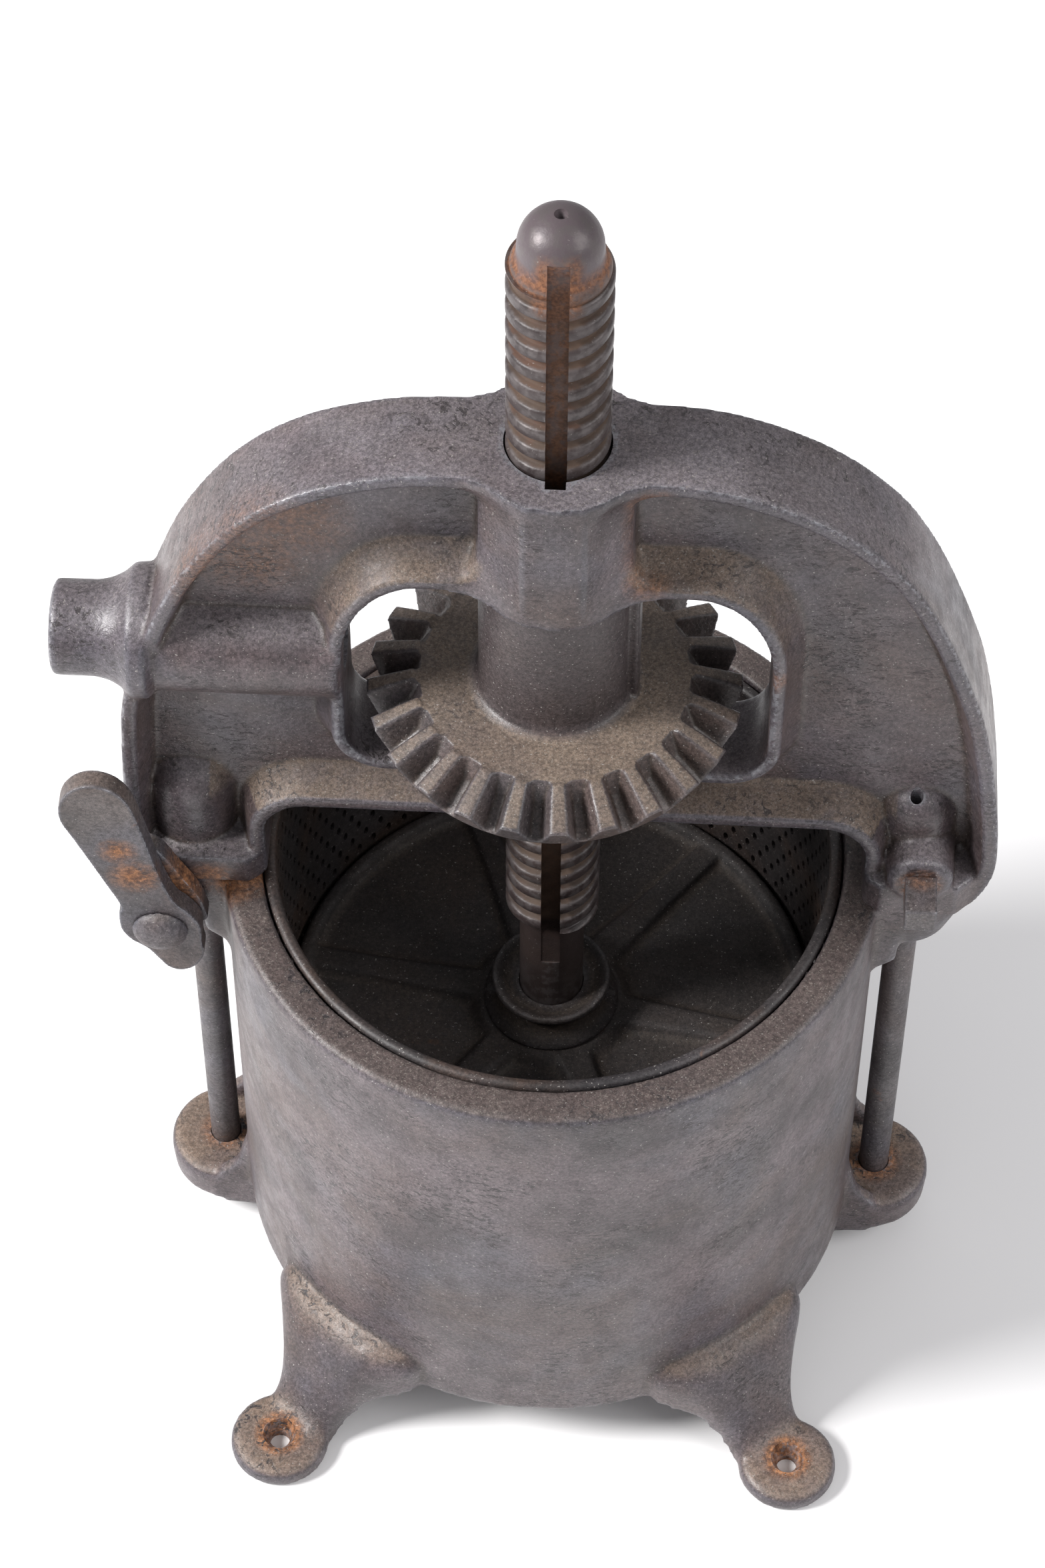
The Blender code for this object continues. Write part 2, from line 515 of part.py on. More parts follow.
# left foot pad with its lip, right foot with its hood
join(head, prism("lip", [(-117.5, -16.4), (-112, -18.4), (-89, -18.4), (-85.6, -15.6), (-85.6, 17.5),
    (-119, 17.5)], H - 2, H + 10.6, "Z"))
join(head, prism("foot", [(92.6, -16.4), (97, -19.4), (119, -19.4), (124.2, -14.5), (124.2, 16.2),
    (92.6, 16.2)], H - 1.3, H + 13.0, "Z"))
join(head, lathe("hood", [(0, -20.6), (8.2, -20.6), (9.6, -19), (10.4, 0), (0, 0)], 24, "Y",
    (ROD_X + 1.6, 0, H + 16.5)))
LOW_BOSS = lathe("low_boss", [(0, 33.4), (20.0, 33.4), (21, 35), (21, 56.2), (20.2, 58.2), (0, 58.2)], 36,
    at=(0, 0, H))
# openings and bores
cut(head, box("under", -150, 150, -40, 40, H - 30, H + GAP))
join(head, LOW_BOSS)
cut(head,
    lathe("bore", [(0, H + 20), (14.6, H + 20), (14.6, H + 200), (0, H + 200)], 40),
    box("key_seat", -2.8, 2.8, -17.0, 0, H + 120, H + 200),
    lathe("crank_bore", [(0, -150), (8.2, -150), (8.2, -40), (0, -40)], 26, "X", (0, 0, H + CRANK_Z)),
    lathe("socket_l", [(0, -5), (ROD_R + GAP, -5), (ROD_R + GAP, 25.4), (0, 25.4)], 18, at=(-ROD_X, 0, H)),
    lathe("socket_r", [(0, -5), (ROD_R + GAP, -5), (ROD_R + GAP, 33), (0, 33)], 18, at=(ROD_X, 0, H)),
    lathe("screw_hole", [(0, -30), (4.3, -30), (4.3, -2), (0, -2)], 20, "Y", (ROD_X + 1.6, 0, H + 16.5)),
    lathe("oil_hole", [(0, 28), (1.8, 28), (1.8, 48), (0, 48)], 12, at=(ROD_X, -2.5, H)))
finish(head, IRON)

key = box("head_key", -2.5, 2.5, -16.6, -9.9, H + 137, H + 163)
finish(key, STEEL, 0.7, 0.45)

# ---------------------------------------------------------------- tie rods and their nuts
for side, sx, top in (("left", -1, 25.0), ("right", 1, 32.4)):
    rod = lathe("tie_rod_" + side, [(0, 0.9), (3.8, 0.9), (ROD_R, 1.9), (ROD_R, H + top - 1),
        (3.8, H + top), (0, H + top)], 20, at=(sx * ROD_X, 0, 0))
    if sx > 0:
        cut(rod, lathe("flat", [(0, -12), (4.5, -12), (4.5, -3.8), (0, -3.8)], 16, "Y",
            (ROD_X + 1.6, 0, H + 16.5)))
    finish(rod, STEEL, 0.6, 0.5)
    rod_washer = lathe("rod_washer_" + side, [(5.1, 10.4), (8.9, 10.4), (8.9, 12.1), (5.1, 12.1)], 24,
        at=(sx * ROD_X, 0, 0))
    finish(rod_washer, STEEL, 0.6, 0.5)
    rod_nut = lathe("rod_nut_" + side, [(0, 3.2), (7.9, 3.2), (8.7, 4.0), (8.7, 9.3), (7.9, 10.1),
        (0, 10.1)], 6, at=(sx * ROD_X, 0, 0))
    cut(rod_nut, lathe("bore", [(0, 0), (5.1, 0), (5.1, 15), (0, 15)], 20, at=(sx * ROD_X, 0, 0)))
    finish(rod_nut, STEEL, 0.6, 0.5, angle=20)

# ---------------------------------------------------------------- set screw of the right foot
sz, sxx = H + 16.5, ROD_X + 1.6
set_screw = lathe("square_set_screw", [(0, -22.0), (4.0, -22.0), (4.0, -4.4), (3.2, -4.1), (0, -4.1)], 20,
    "Y", (sxx, 0, sz))
join(set_screw, prism("square", [(sxx - 4.6, sz - 4.6), (sxx + 4.6, sz - 4.6), (sxx + 4.6, sz + 4.6),
    (sxx - 4.6, sz + 4.6)], -34.0, -21.0))
finish(set_screw, STEEL, 0.6, 0.5, angle=20)

# ---------------------------------------------------------------- clamp on the left foot
PX, PZ = -114.7, H - 8.0


def bar(name, points, y0, y1):
    return prism(name, [(PX + x, PZ + z) for x, z in points], y0, y1)


block = bar("clamp_block", arc(0, 0, 10.6, 150, 325, 9) + [(13.0, -4), (11.0, 7.5), (1.0, 28.6),
    (-3.5, 30.4), (-8.6, 25), (-10.8, 11)], -24.6, -18.9)
cut(block, lathe("hole", [(0, -30), (3.3, -30), (3.3, -10), (0, -10)], 16, "Y", (PX, 0, PZ)))
finish(block, IRON_BROWN, 0.5, 0.6)

lever_shape = [(11.9, -6), (11.9, 1.5), (8.8, 8.2), (4.8, 13.6), (1.3, 26.1), (-1.9, 44), (-4.3, 56.6),
    (-6.4, 62.4), (-10.0, 66.8), (-15.1, 68.7), (-20.0, 67.2), (-24.0, 62.6), (-25.9, 56.5), (-25.4, 50.2),
    (-22.4, 42.4),
               (-15.6, 23.5), (-11.2, 10.8), (-12.0, 5.2), (-11.6, -1.6), (-9.0, -6.6), (-4.6, -10.6),
    (-1.6, -15.6), (1.0, -19.8), (4.4, -21.4), (8.2, -20.0), (11.0, -16.4), (12.4, -11.4)]
lever = bar("clamp_lever", lever_shape, -31.2, -24.9)
cut(lever, lathe("hole", [(0, -40), (3.3, -40), (3.3, -10), (0, -10)], 16, "Y", (PX, 0, PZ)))
finish(lever, IRON_BROWN, 0.5, 0.6, (PX, -28, PZ))

dome = [(0, -36.2), (3.2, -35.8), (6.0, -34.6), (7.9, -32.8), (8.3, -31.5), (3.0, -31.5), (3.0, -9.0),
    (2.4, -8.4), (0, -8.4)]
rivet = lathe("clamp_rivet", dome, 24, "Y", (PX, 0, PZ))
finish(rivet, STEEL, 0.6, 0.5)
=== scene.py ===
"""Looks of the screw press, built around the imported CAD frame.

Lengths are millimetres, x from the screw axis and z from the floor."""

import math

import bmesh
import bpy
import numpy as np
from mathutils import Matrix, Vector


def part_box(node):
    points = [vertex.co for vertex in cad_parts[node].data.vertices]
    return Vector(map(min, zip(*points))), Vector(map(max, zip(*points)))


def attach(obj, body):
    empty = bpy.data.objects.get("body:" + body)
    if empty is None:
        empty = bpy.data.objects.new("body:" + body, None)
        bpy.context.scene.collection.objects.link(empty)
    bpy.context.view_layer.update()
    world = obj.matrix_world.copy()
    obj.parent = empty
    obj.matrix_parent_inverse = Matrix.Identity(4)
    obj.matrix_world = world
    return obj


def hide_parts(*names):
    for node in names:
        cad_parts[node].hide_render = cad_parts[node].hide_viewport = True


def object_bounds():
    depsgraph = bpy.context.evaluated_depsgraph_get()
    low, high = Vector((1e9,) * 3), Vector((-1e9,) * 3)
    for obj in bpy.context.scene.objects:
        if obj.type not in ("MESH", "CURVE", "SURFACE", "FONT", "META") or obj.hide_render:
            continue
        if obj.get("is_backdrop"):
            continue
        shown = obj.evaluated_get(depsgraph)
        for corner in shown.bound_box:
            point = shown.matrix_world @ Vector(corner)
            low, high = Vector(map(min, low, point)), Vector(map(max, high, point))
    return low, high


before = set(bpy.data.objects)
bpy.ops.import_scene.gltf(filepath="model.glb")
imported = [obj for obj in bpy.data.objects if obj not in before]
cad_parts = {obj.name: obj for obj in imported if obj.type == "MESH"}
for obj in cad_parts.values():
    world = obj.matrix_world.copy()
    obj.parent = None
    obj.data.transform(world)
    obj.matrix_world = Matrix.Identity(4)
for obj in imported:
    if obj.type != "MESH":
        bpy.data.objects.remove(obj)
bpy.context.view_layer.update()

MM = 0.001
XC = sum(corner.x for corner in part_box("thrust_washer")) / 2 / MM    # screw axis
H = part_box("cylinder_casting")[1].z / MM                             # rim plane
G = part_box("thrust_washer")[1].z / MM + 21.9                         # flat ring of the gear
SCREW_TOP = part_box("press_screw")[1].z / MM - 17.7                   # last thread, under the dome
SCREW_LOW = H - 28.0                                                 # first thread, over the neck
ROD_X = 106.4                                                        # tie rods
SET_X, SET_Z = ROD_X + 1.6, H + 16.5                                 # set screw in the right foot
PIVOT_X, PIVOT_Z = -114.7, H - 8.0                                   # rivet of the clamp lever
PIN_Z = H - 75.4                                                     # cross pin of the collar
GAP = 0.3                                                            # between pieces that meet
RIVET_HOLE_R, PIN_HOLE_R, PLATE_HOLE_R, ROD_NUT_HOLE_R = 3.3, 2.3, 6.5, 5.1
LATHE_START = 0.13  # where a turned piece's first point lies, in steps round its axis


# ------------------------------------------------------------------ mesh helpers
def mesh_object(name, verts, faces):
    """A closed mesh from points measured from the screw axis, with its faces turned outwards."""
    mesh = bpy.data.meshes.new(name)
    mesh.from_pydata([((v[0] + XC) * MM, v[1] * MM, v[2] * MM) for v in verts], [], faces)
    bm = bmesh.new()
    bm.from_mesh(mesh)
    bmesh.ops.remove_doubles(bm, verts=bm.verts, dist=1e-7)
    bmesh.ops.recalc_face_normals(bm, faces=bm.faces)
    if bm.calc_volume(signed=True) < 0:
        bmesh.ops.reverse_faces(bm, faces=bm.faces)
    bm.to_mesh(mesh)
    bm.free()
    obj = bpy.data.objects.new(name, mesh)
    bpy.context.scene.collection.objects.link(obj)
    return obj


def prism(outline, low, high, axis="Y"):
    """A polygon pushed along an axis. Its points are (x, z) for Y, (x, y) for Z and (y, z) for X."""
    put = {
        "Y": lambda a, b, t: (a, t, b),
        "Z": lambda a, b, t: (a, b, t),
        "X": lambda a, b, t: (t, a, b),
    }[axis]
    n = len(outline)
    verts = [put(a, b, t) for t in (low, high) for a, b in outline]
    faces = [tuple(range(n)), tuple(range(2 * n - 1, n - 1, -1))]
    faces += [(i, i + n, (i + 1) % n + n, (i + 1) % n) for i in range(n)]
    return mesh_object("solid", verts, faces)


def block(x0, x1, y0, y1, z0, z1):
    """A box between two values of x, of y and of z."""
    return prism([(x0, y0), (x1, y0), (x1, y1), (x0, y1)], z0, z1, "Z")


def lathe(profile, seg=96, axis="Z", at=(0, 0, 0)):
    """Turns (radius, height) points about an axis. A point of radius 0 closes an end."""
    put = {
        "Z": lambda r, a, h: (at[0] + r * math.cos(a), at[1] + r * math.sin(a), at[2] + h),
        "Y": lambda r, a, h: (at[0] + r * math.cos(a), at[1] + h, at[2] + r * math.sin(a)),
        "X": lambda r, a, h: (at[0] + h, at[1] + r * math.cos(a), at[2] + r * math.sin(a)),
    }[axis]
    verts, rings, faces = [], [], []
    for r, h in profile:
        count = 1 if r == 0 else seg
        rings.append([len(verts) + i for i in range(count)])
        verts += [put(r, 2 * math.pi * (i + LATHE_START) / seg, h) for i in range(count)]
    closing = [(rings[-1], rings[0])] if profile[0][0] else []
    for a, b in list(zip(rings, rings[1:])) + closing:
        for i in range(seg):
            j = (i + 1) % seg
            ring = [a[i % len(a)], a[j % len(a)], b[j % len(b)], b[i % len(b)]]
            faces.append(tuple(dict.fromkeys(ring)))
    return mesh_object("solid", verts, faces)


def drill(r, low, high, seg, axis="Z", at=(0, 0, 0)):
    """A cylinder to cut a round hole with."""
    return lathe([(0, low), (r, low), (r, high), (0, high)], seg, axis, at)


def evaluated(obj):
    """Applies the object's modifiers."""
    graph = bpy.context.evaluated_depsgraph_get()
    mesh = bpy.data.meshes.new_from_object(obj.evaluated_get(graph))
    obj.modifiers.clear()
    obj.data = mesh
    return obj


def boolean(obj, operation, others):
    """Joins other objects to this one or cuts them out of it, and removes them."""
    for other in others:
        mod = obj.modifiers.new("cut", "BOOLEAN")
        mod.operation, mod.solver, mod.object = operation, "EXACT", other
    evaluated(obj)
    for other in others:
        bpy.data.objects.remove(other, do_unlink=True)
    return obj


def join(obj, *others):
    return boolean(obj, "UNION", others)


def cut(obj, *others):
    return boolean(obj, "DIFFERENCE", others)


def heap(obj, *others):
    """Puts overlapping closed shells in one mesh. The voxel remesh in cast() makes them one skin."""
    bm = bmesh.new()
    for part in (obj, *others):
        bm.from_mesh(part.data)
    bm.to_mesh(obj.data)
    bm.free()
    for other in others:
        bpy.data.objects.remove(other, do_unlink=True)
    return obj


def inset(outline, by):
    """Moves each side of a counter-clockwise outline inwards."""
    out, n = [], len(outline)
    for i in range(n):
        p, q, r = Vector(outline[i - 1]), Vector(outline[i]), Vector(outline[(i + 1) % n])
        d1, d2 = (q - p).normalized(), (r - q).normalized()
        m = (Vector((-d1.y, d1.x)) + Vector((-d2.y, d2.x))).normalized()
        out.append(tuple(q + m * (by / max(0.35, m.dot(Vector((-d1.y, d1.x)))))))
    return out


def ring_skin(loops):
    """Skins closed outlines (y, outline) with as many points each. The last loop is joined to the first."""
    n = len(loops[0][1])
    verts = [(x, y, z) for y, line in loops for x, z in line]
    faces = []
    for a in range(len(loops)):
        b = (a + 1) % len(loops)
        for i in range(n):
            j = (i + 1) % n
            faces.append((a * n + i, a * n + j, b * n + j, b * n + i))
    return mesh_object("ring", verts, faces)


def spoke(sections, angle):
    """Skins (r, outline) sections along a spoke at an angle, each outline as (sideways, z) points."""
    c, s = math.cos(angle), math.sin(angle)
    n = len(sections[0][1])
    verts = [(r * c - t * s, r * s + t * c, z) for r, line in sections for t, z in line]
    faces = []
    for low in range(0, len(verts) - n, n):
        faces += [(low + i, low + (i + 1) % n, low + (i + 1) % n + n, low + i + n) for i in range(n)]
    faces += [tuple(range(n)), tuple(range(len(verts) - 1, len(verts) - n - 1, -1))]
    return mesh_object("spoke", verts, faces)


def loft(sections):
    """Skins (z or heights, outline) sections with as many points each, and closes both ends."""
    n = len(sections[0][1])
    verts = []
    for height, line in sections:
        heights = height if isinstance(height, list) else [height] * n
        verts += [(x, y, z) for (x, y), z in zip(line, heights)]
    faces = [tuple(range(n)), tuple(range(len(verts) - 1, len(verts) - n - 1, -1))]
    for low in range(0, len(verts) - n, n):
        faces += [(low + i, low + i + n, low + (i + 1) % n + n, low + (i + 1) % n) for i in range(n)]
    return mesh_object("loft", verts, faces)


def arc(cx, cz, r, start, end, n):
    """n + 1 points of a circle, from the angle start to the angle end in degrees."""
    turns = [math.radians(start + (end - start) * i / n) for i in range(n + 1)]
    return [(cx + r * math.cos(t), cz + r * math.sin(t)) for t in turns]


def opening(x0, x1, z0, z1, rx, rz, r, n=16):
    """An outline with tall elliptic upper corners, rx by rz, and round lower corners."""
    corners = ((x1 - r, z0 + r, r, r, -90), (x1 - rx, z1 - rz, rx, rz, 0),
               (x0 + rx, z1 - rz, rx, rz, 90), (x0 + r, z0 + r, r, r, 180))
    outline = []
    for cx, cz, a, b, start in corners:
        turns = [math.radians(start + 90 * i / n) for i in range(n + 1)]
        outline += [(cx + a * math.cos(t), cz + b * math.sin(t)) for t in turns]
    return outline


def curve(points, steps=6, closed=False):
    """A smooth line through points."""
    n = len(points)
    pick = (lambda i: points[i % n]) if closed else (lambda i: points[min(max(i, 0), n - 1)])
    out = []
    for i in range(n if closed else n - 1):
        a, b, c, d = (pick(i + k) for k in (-1, 0, 1, 2))
        for s in range(steps):
            t = s / steps
            out.append(tuple(
                0.5 * (2 * b[k] + (c[k] - a[k]) * t
                       + (2 * a[k] - 5 * b[k] + 4 * c[k] - d[k]) * t * t
                       + (3 * b[k] - a[k] - 3 * c[k] + d[k]) * t ** 3)
                for k in range(len(b))))
    return out if closed else out + [tuple(points[-1])]


def arrays(obj):
    """The mesh's points, their normals and its edges, as arrays."""
    mesh = obj.data
    points = np.empty(len(mesh.vertices) * 3)
    mesh.vertices.foreach_get("co", points)
    normals = np.empty(len(mesh.vertices) * 3)
    mesh.vertices.foreach_get("normal", normals)
    edges = np.empty(len(mesh.edges) * 2, np.int64)
    mesh.edges.foreach_get("vertices", edges)
    return points.reshape(-1, 3), normals.reshape(-1, 3), edges.reshape(-1, 2)


def attribute(obj, name, values):
    """Stores a value for each point, which a material reads by its name."""
    layer = obj.data.attributes.get(name) or obj.data.attributes.new(name, "FLOAT", "POINT")
    layer.data.foreach_set("value", values.astype(np.float32))


def mark_edges(obj, rounds, full):
    """Stores how far each point stands out of its surroundings (edge) or lies in them (cavity).

    Both run from 0 to 1, reached at full mm."""
    points, normals, edges = arrays(obj)
    n = len(points)
    degree = np.bincount(edges.ravel(), minlength=n).clip(1)[:, None]
    flat = points.copy()
    for _ in range(rounds):
        total = np.stack([
            np.bincount(edges[:, 0], flat[edges[:, 1], k], n)
            + np.bincount(edges[:, 1], flat[edges[:, 0], k], n)
            for k in range(3)], 1)
        flat = total / degree
    out = ((points - flat) * normals).sum(1) / (full * MM)
    attribute(obj, "edge", out.clip(0, 1))
    attribute(obj, "cavity", (-out).clip(0, 1))


def cast(obj, voxel, smooth, lumps, edges=True):
    """One skin with soft fillets and the slightly uneven surface of a sand casting or a forging."""
    mod = obj.modifiers.new("skin", "REMESH")
    mod.mode, mod.voxel_size, mod.adaptivity = "VOXEL", voxel * MM, 0
    mod = obj.modifiers.new("soften", "SMOOTH")
    mod.factor, mod.iterations = 0.5, smooth
    for size, share in ((14, 1.0), (3.2, 0.35)):
        texture = bpy.data.textures.new("lumps", "CLOUDS")
        texture.noise_scale, texture.noise_depth = size * MM, 2
        mod = obj.modifiers.new("lumps", "DISPLACE")
        mod.texture, mod.texture_coords = texture, "LOCAL"
        mod.strength, mod.mid_level = lumps * share * MM, 0.5
    evaluated(obj)
    if edges:
        mark_edges(obj, 10, 0.35)
    return obj


def finish(obj, name, body, node, material, angle=40):
    """Gives a piece its name and material, hides the CAD node it stands for, and ties it to its body."""
    obj.name = obj.data.name = name
    obj.data.materials.clear()
    obj.data.materials.append(material)
    for face in obj.data.polygons:
        face.material_index = 0
    obj.data.shade_smooth()
    obj.data.set_sharp_from_angle(angle=math.radians(angle))
    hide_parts(*([node] if isinstance(node, str) else node))
    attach(obj, body)
    return obj


# ------------------------------------------------------------------ materials
class Nodes:
    """A material's node tree, built by calls that return sockets."""

    def __init__(self, name):
        self.material = bpy.data.materials.new(name)
        self.material.use_nodes = True
        self.tree = self.material.node_tree
        self.shader = self.tree.nodes["Principled BSDF"]
        self.where = self.add("ShaderNodeTexCoord").outputs["Object"]

    def add(self, kind, inputs=(), **settings):
        node = self.tree.nodes.new(kind)
        for key, value in settings.items():
            setattr(node, key, value)
        for key, value in dict(inputs).items():
            self.set(node.inputs[key], value)
        return node

    def set(self, socket, value):
        if isinstance(value, bpy.types.NodeSocket):
            self.tree.links.new(value, socket)
        elif isinstance(value, tuple) and len(value) == 3 and socket.type == "RGBA":
            socket.default_value = (*value, 1)
        else:
            socket.default_value = value

    def noise(self, scale, detail=4, rough=0.55, distortion=0.0, where=None):
        inputs = {"Vector": where or self.where, "Scale": scale, "Detail": detail,
                  "Roughness": rough, "Distortion": distortion}
        return self.add("ShaderNodeTexNoise", inputs).outputs["Fac"]

    def step(self, value, low, high, to_low=0.0, to_high=1.0):
        inputs = {"Value": value, "From Min": low, "From Max": high, "To Min": to_low, "To Max": to_high}
        return self.add("ShaderNodeMapRange", inputs, interpolation_type="SMOOTHSTEP").outputs["Result"]

    def math(self, operation, a, b=0.0, clamp=False):
        return self.add("ShaderNodeMath", {0: a, 1: b}, operation=operation, use_clamp=clamp).outputs[0]

    def times(self, *values):
        out = values[0]
        for value in values[1:]:
            out = self.math("MULTIPLY", out, value)
        return out

    def mix(self, factor, a, b):
        node = self.add("ShaderNodeMix", data_type="RGBA")
        for key, value in ((0, factor), (6, a), (7, b)):
            self.set(node.inputs[key], value)
        return node.outputs[2]

    def mark(self, name):
        return self.add("ShaderNodeAttribute", attribute_name=name).outputs["Fac"]

    def up(self):
        geometry = self.add("ShaderNodeNewGeometry")
        return self.add("ShaderNodeSeparateXYZ", {0: geometry.outputs["Normal"]}).outputs["Z"]

    def split(self):
        return self.add("ShaderNodeSeparateXYZ", {0: self.where}).outputs

    def bump(self, height, distance, strength=1.0, normal=None):
        inputs = {"Height": height, "Distance": distance * MM, "Strength": strength}
        if normal is not None:
            inputs["Normal"] = normal
        return self.add("ShaderNodeBump", inputs).outputs["Normal"]

    def done(self, colour, rough, metallic=0.0, normal=None, specular=0.5):
        self.set(self.shader.inputs["Base Color"], colour)
        self.set(self.shader.inputs["Roughness"], rough)
        self.set(self.shader.inputs["Metallic"], metallic)
        self.shader.inputs["Specular IOR Level"].default_value = specular
        if normal is not None:
            self.set(self.shader.inputs["Normal"], normal)
        return self.material


def iron(name, tone=(0.087, 0.069, 0.074), brown=(0.078, 0.051, 0.041), brownness=0.6, dust=0.6,
         dust_and_sheen_tone=(0.128, 0.102, 0.086), rust=0.25, wear=0.8, rough=0.5, grain=1.0, pits=0.6, blueness=0.6,
         stain_tone=(0.068, 0.052, 0.049), dust_from=0.45):
    """Old cast iron: sandy grain, dark pits in patches, brown film, dust on top (where its tone is pale,
    also a painted sheen), dark grime and painted shade in creases, rust, bright worn lips.

    Where the mesh has the marks, stain is dark brown grease, film is tan dust and rust is rust."""
    n = Nodes(name)
    patch, small = n.noise(26, 5, 0.6, 0.3), n.noise(130, 5, 0.65)
    fine, speck = n.noise(950, 3, 0.6), n.noise(2600, 2, 0.5)
    dark, light, blue = tuple(c * 0.52 for c in tone), tuple(c * 1.26 for c in tone), (0.078, 0.076, 0.094)
    colour = n.mix(n.step(patch, 0.33, 0.66), dark, light)
    colour = n.mix(n.step(n.noise(17, 4, 0.6), 0.44, 0.62, 0, blueness), colour, blue)
    colour = n.mix(n.times(n.step(n.noise(19, 4, 0.6, 0.4), 0.40, 0.68), brownness), colour, brown)
    colour = n.mix(n.step(small, 0.48, 0.75, 0, 0.45), colour, dark)
    cavity, edge = n.mark("cavity"), n.mark("edge")
    # creases go dark brown: grime, and painted shade in them
    colour = n.mix(n.times(n.step(cavity, 0.08, 0.8), 0.75), colour, (0.050, 0.038, 0.030))
    colour = n.mix(n.times(n.step(edge, 0.15, 0.7), 0.6 * wear), colour, (0.084, 0.087, 0.106))
    # dust lies on what faces up; a pale dust tone, as on the head, is also a painted sheen there
    top = n.times(n.step(n.up(), dust_from, 0.97), n.step(n.noise(45, 5, 0.65), 0.3, 0.62, 0.45, 1.0), dust)
    low = n.step(n.split()["Z"], 0.075, 0.035)
    colour = n.mix(top, colour, n.mix(low, dust_and_sheen_tone, (0.210, 0.150, 0.108)))
    film = n.times(n.mark("film"), n.step(n.up(), 0.0, 0.5),
                   n.step(n.noise(70, 5, 0.7), 0.3, 0.6, 0.35, 0.9))
    colour = n.mix(film, colour, (0.140, 0.103, 0.078))
    stain = n.times(n.mark("stain"), n.step(n.noise(48, 5, 0.65), 0.25, 0.6, 0.6, 1.0))
    colour = n.mix(stain, colour, stain_tone)
    # rust
    spots = n.step(n.noise(52, 6, 0.7, 0.5), 0.68 - 0.1 * rust, 0.82 - 0.1 * rust)
    painted = n.times(n.mark("rust"), n.step(n.noise(190, 5, 0.7), 0.18, 0.5))
    rusty = n.math("MAXIMUM", n.times(spots, rust), painted)
    rust_tone = n.mix(n.step(n.noise(520, 4, 0.6), 0.35, 0.65), (0.095, 0.040, 0.020), (0.30, 0.135, 0.060))
    colour = n.mix(rusty, colour, rust_tone)
    # pits, grain and glints
    stretch = {"Vector": n.where, "Rotation": (0.5, 0.3, 0.4), "Scale": (1, 1, 2.4)}
    long_way = n.add("ShaderNodeMapping", stretch)
    marks = n.step(n.noise(300, 4, 0.6, 1.2, long_way.outputs[0]), 0.54, 0.62)
    pitted = n.times(marks, n.step(n.noise(30, 4, 0.6), 0.46, 0.60), pits)
    colour = n.mix(pitted, colour, (0.030, 0.025, 0.026))
    shade = n.times(n.step(fine, 0.3, 0.7, 0.66, 1.36), n.step(speck, 0.3, 0.7, 0.78, 1.24))
    shaded = n.add("ShaderNodeVectorMath", {0: colour, "Scale": shade}, operation="SCALE").outputs[0]
    glint = n.step(n.noise(1250, 2, 0.6), 0.67, 0.72, 0, 0.75)
    colour = n.mix(glint, shaded, (0.36, 0.34, 0.32))
    sand = n.times(n.math("MAXIMUM", top, film), n.step(n.noise(1800, 2, 0.5), 0.60, 0.66), 0.5)
    colour = n.mix(sand, colour, (0.30, 0.27, 0.235))
    # worn lips
    worn = n.times(n.step(edge, 0.80, 0.99), n.step(n.noise(420, 4, 0.7), 0.44, 0.58), wear)
    colour = n.mix(n.times(worn, 0.75), colour, (0.33, 0.335, 0.36))
    roughness = n.math("ADD", n.step(small, 0.3, 0.7, rough - 0.07, rough + 0.10), n.times(top, 0.22))
    roughness = n.math("ADD", roughness, n.times(n.math("MAXIMUM", rusty, film), 0.25))
    roughness = n.math("SUBTRACT", roughness, n.times(worn, 0.20), clamp=True)
    normal = n.bump(n.math("SUBTRACT", 1.0, pitted), 0.12 * grain, 0.7)
    normal = n.bump(small, 0.35 * grain, 0.5, normal)
    normal = n.bump(fine, 0.16 * grain, 0.8, normal)
    normal = n.bump(speck, 0.06 * grain, 0.8, normal)
    return n.done(colour, roughness, n.times(worn, 0.5), normal)


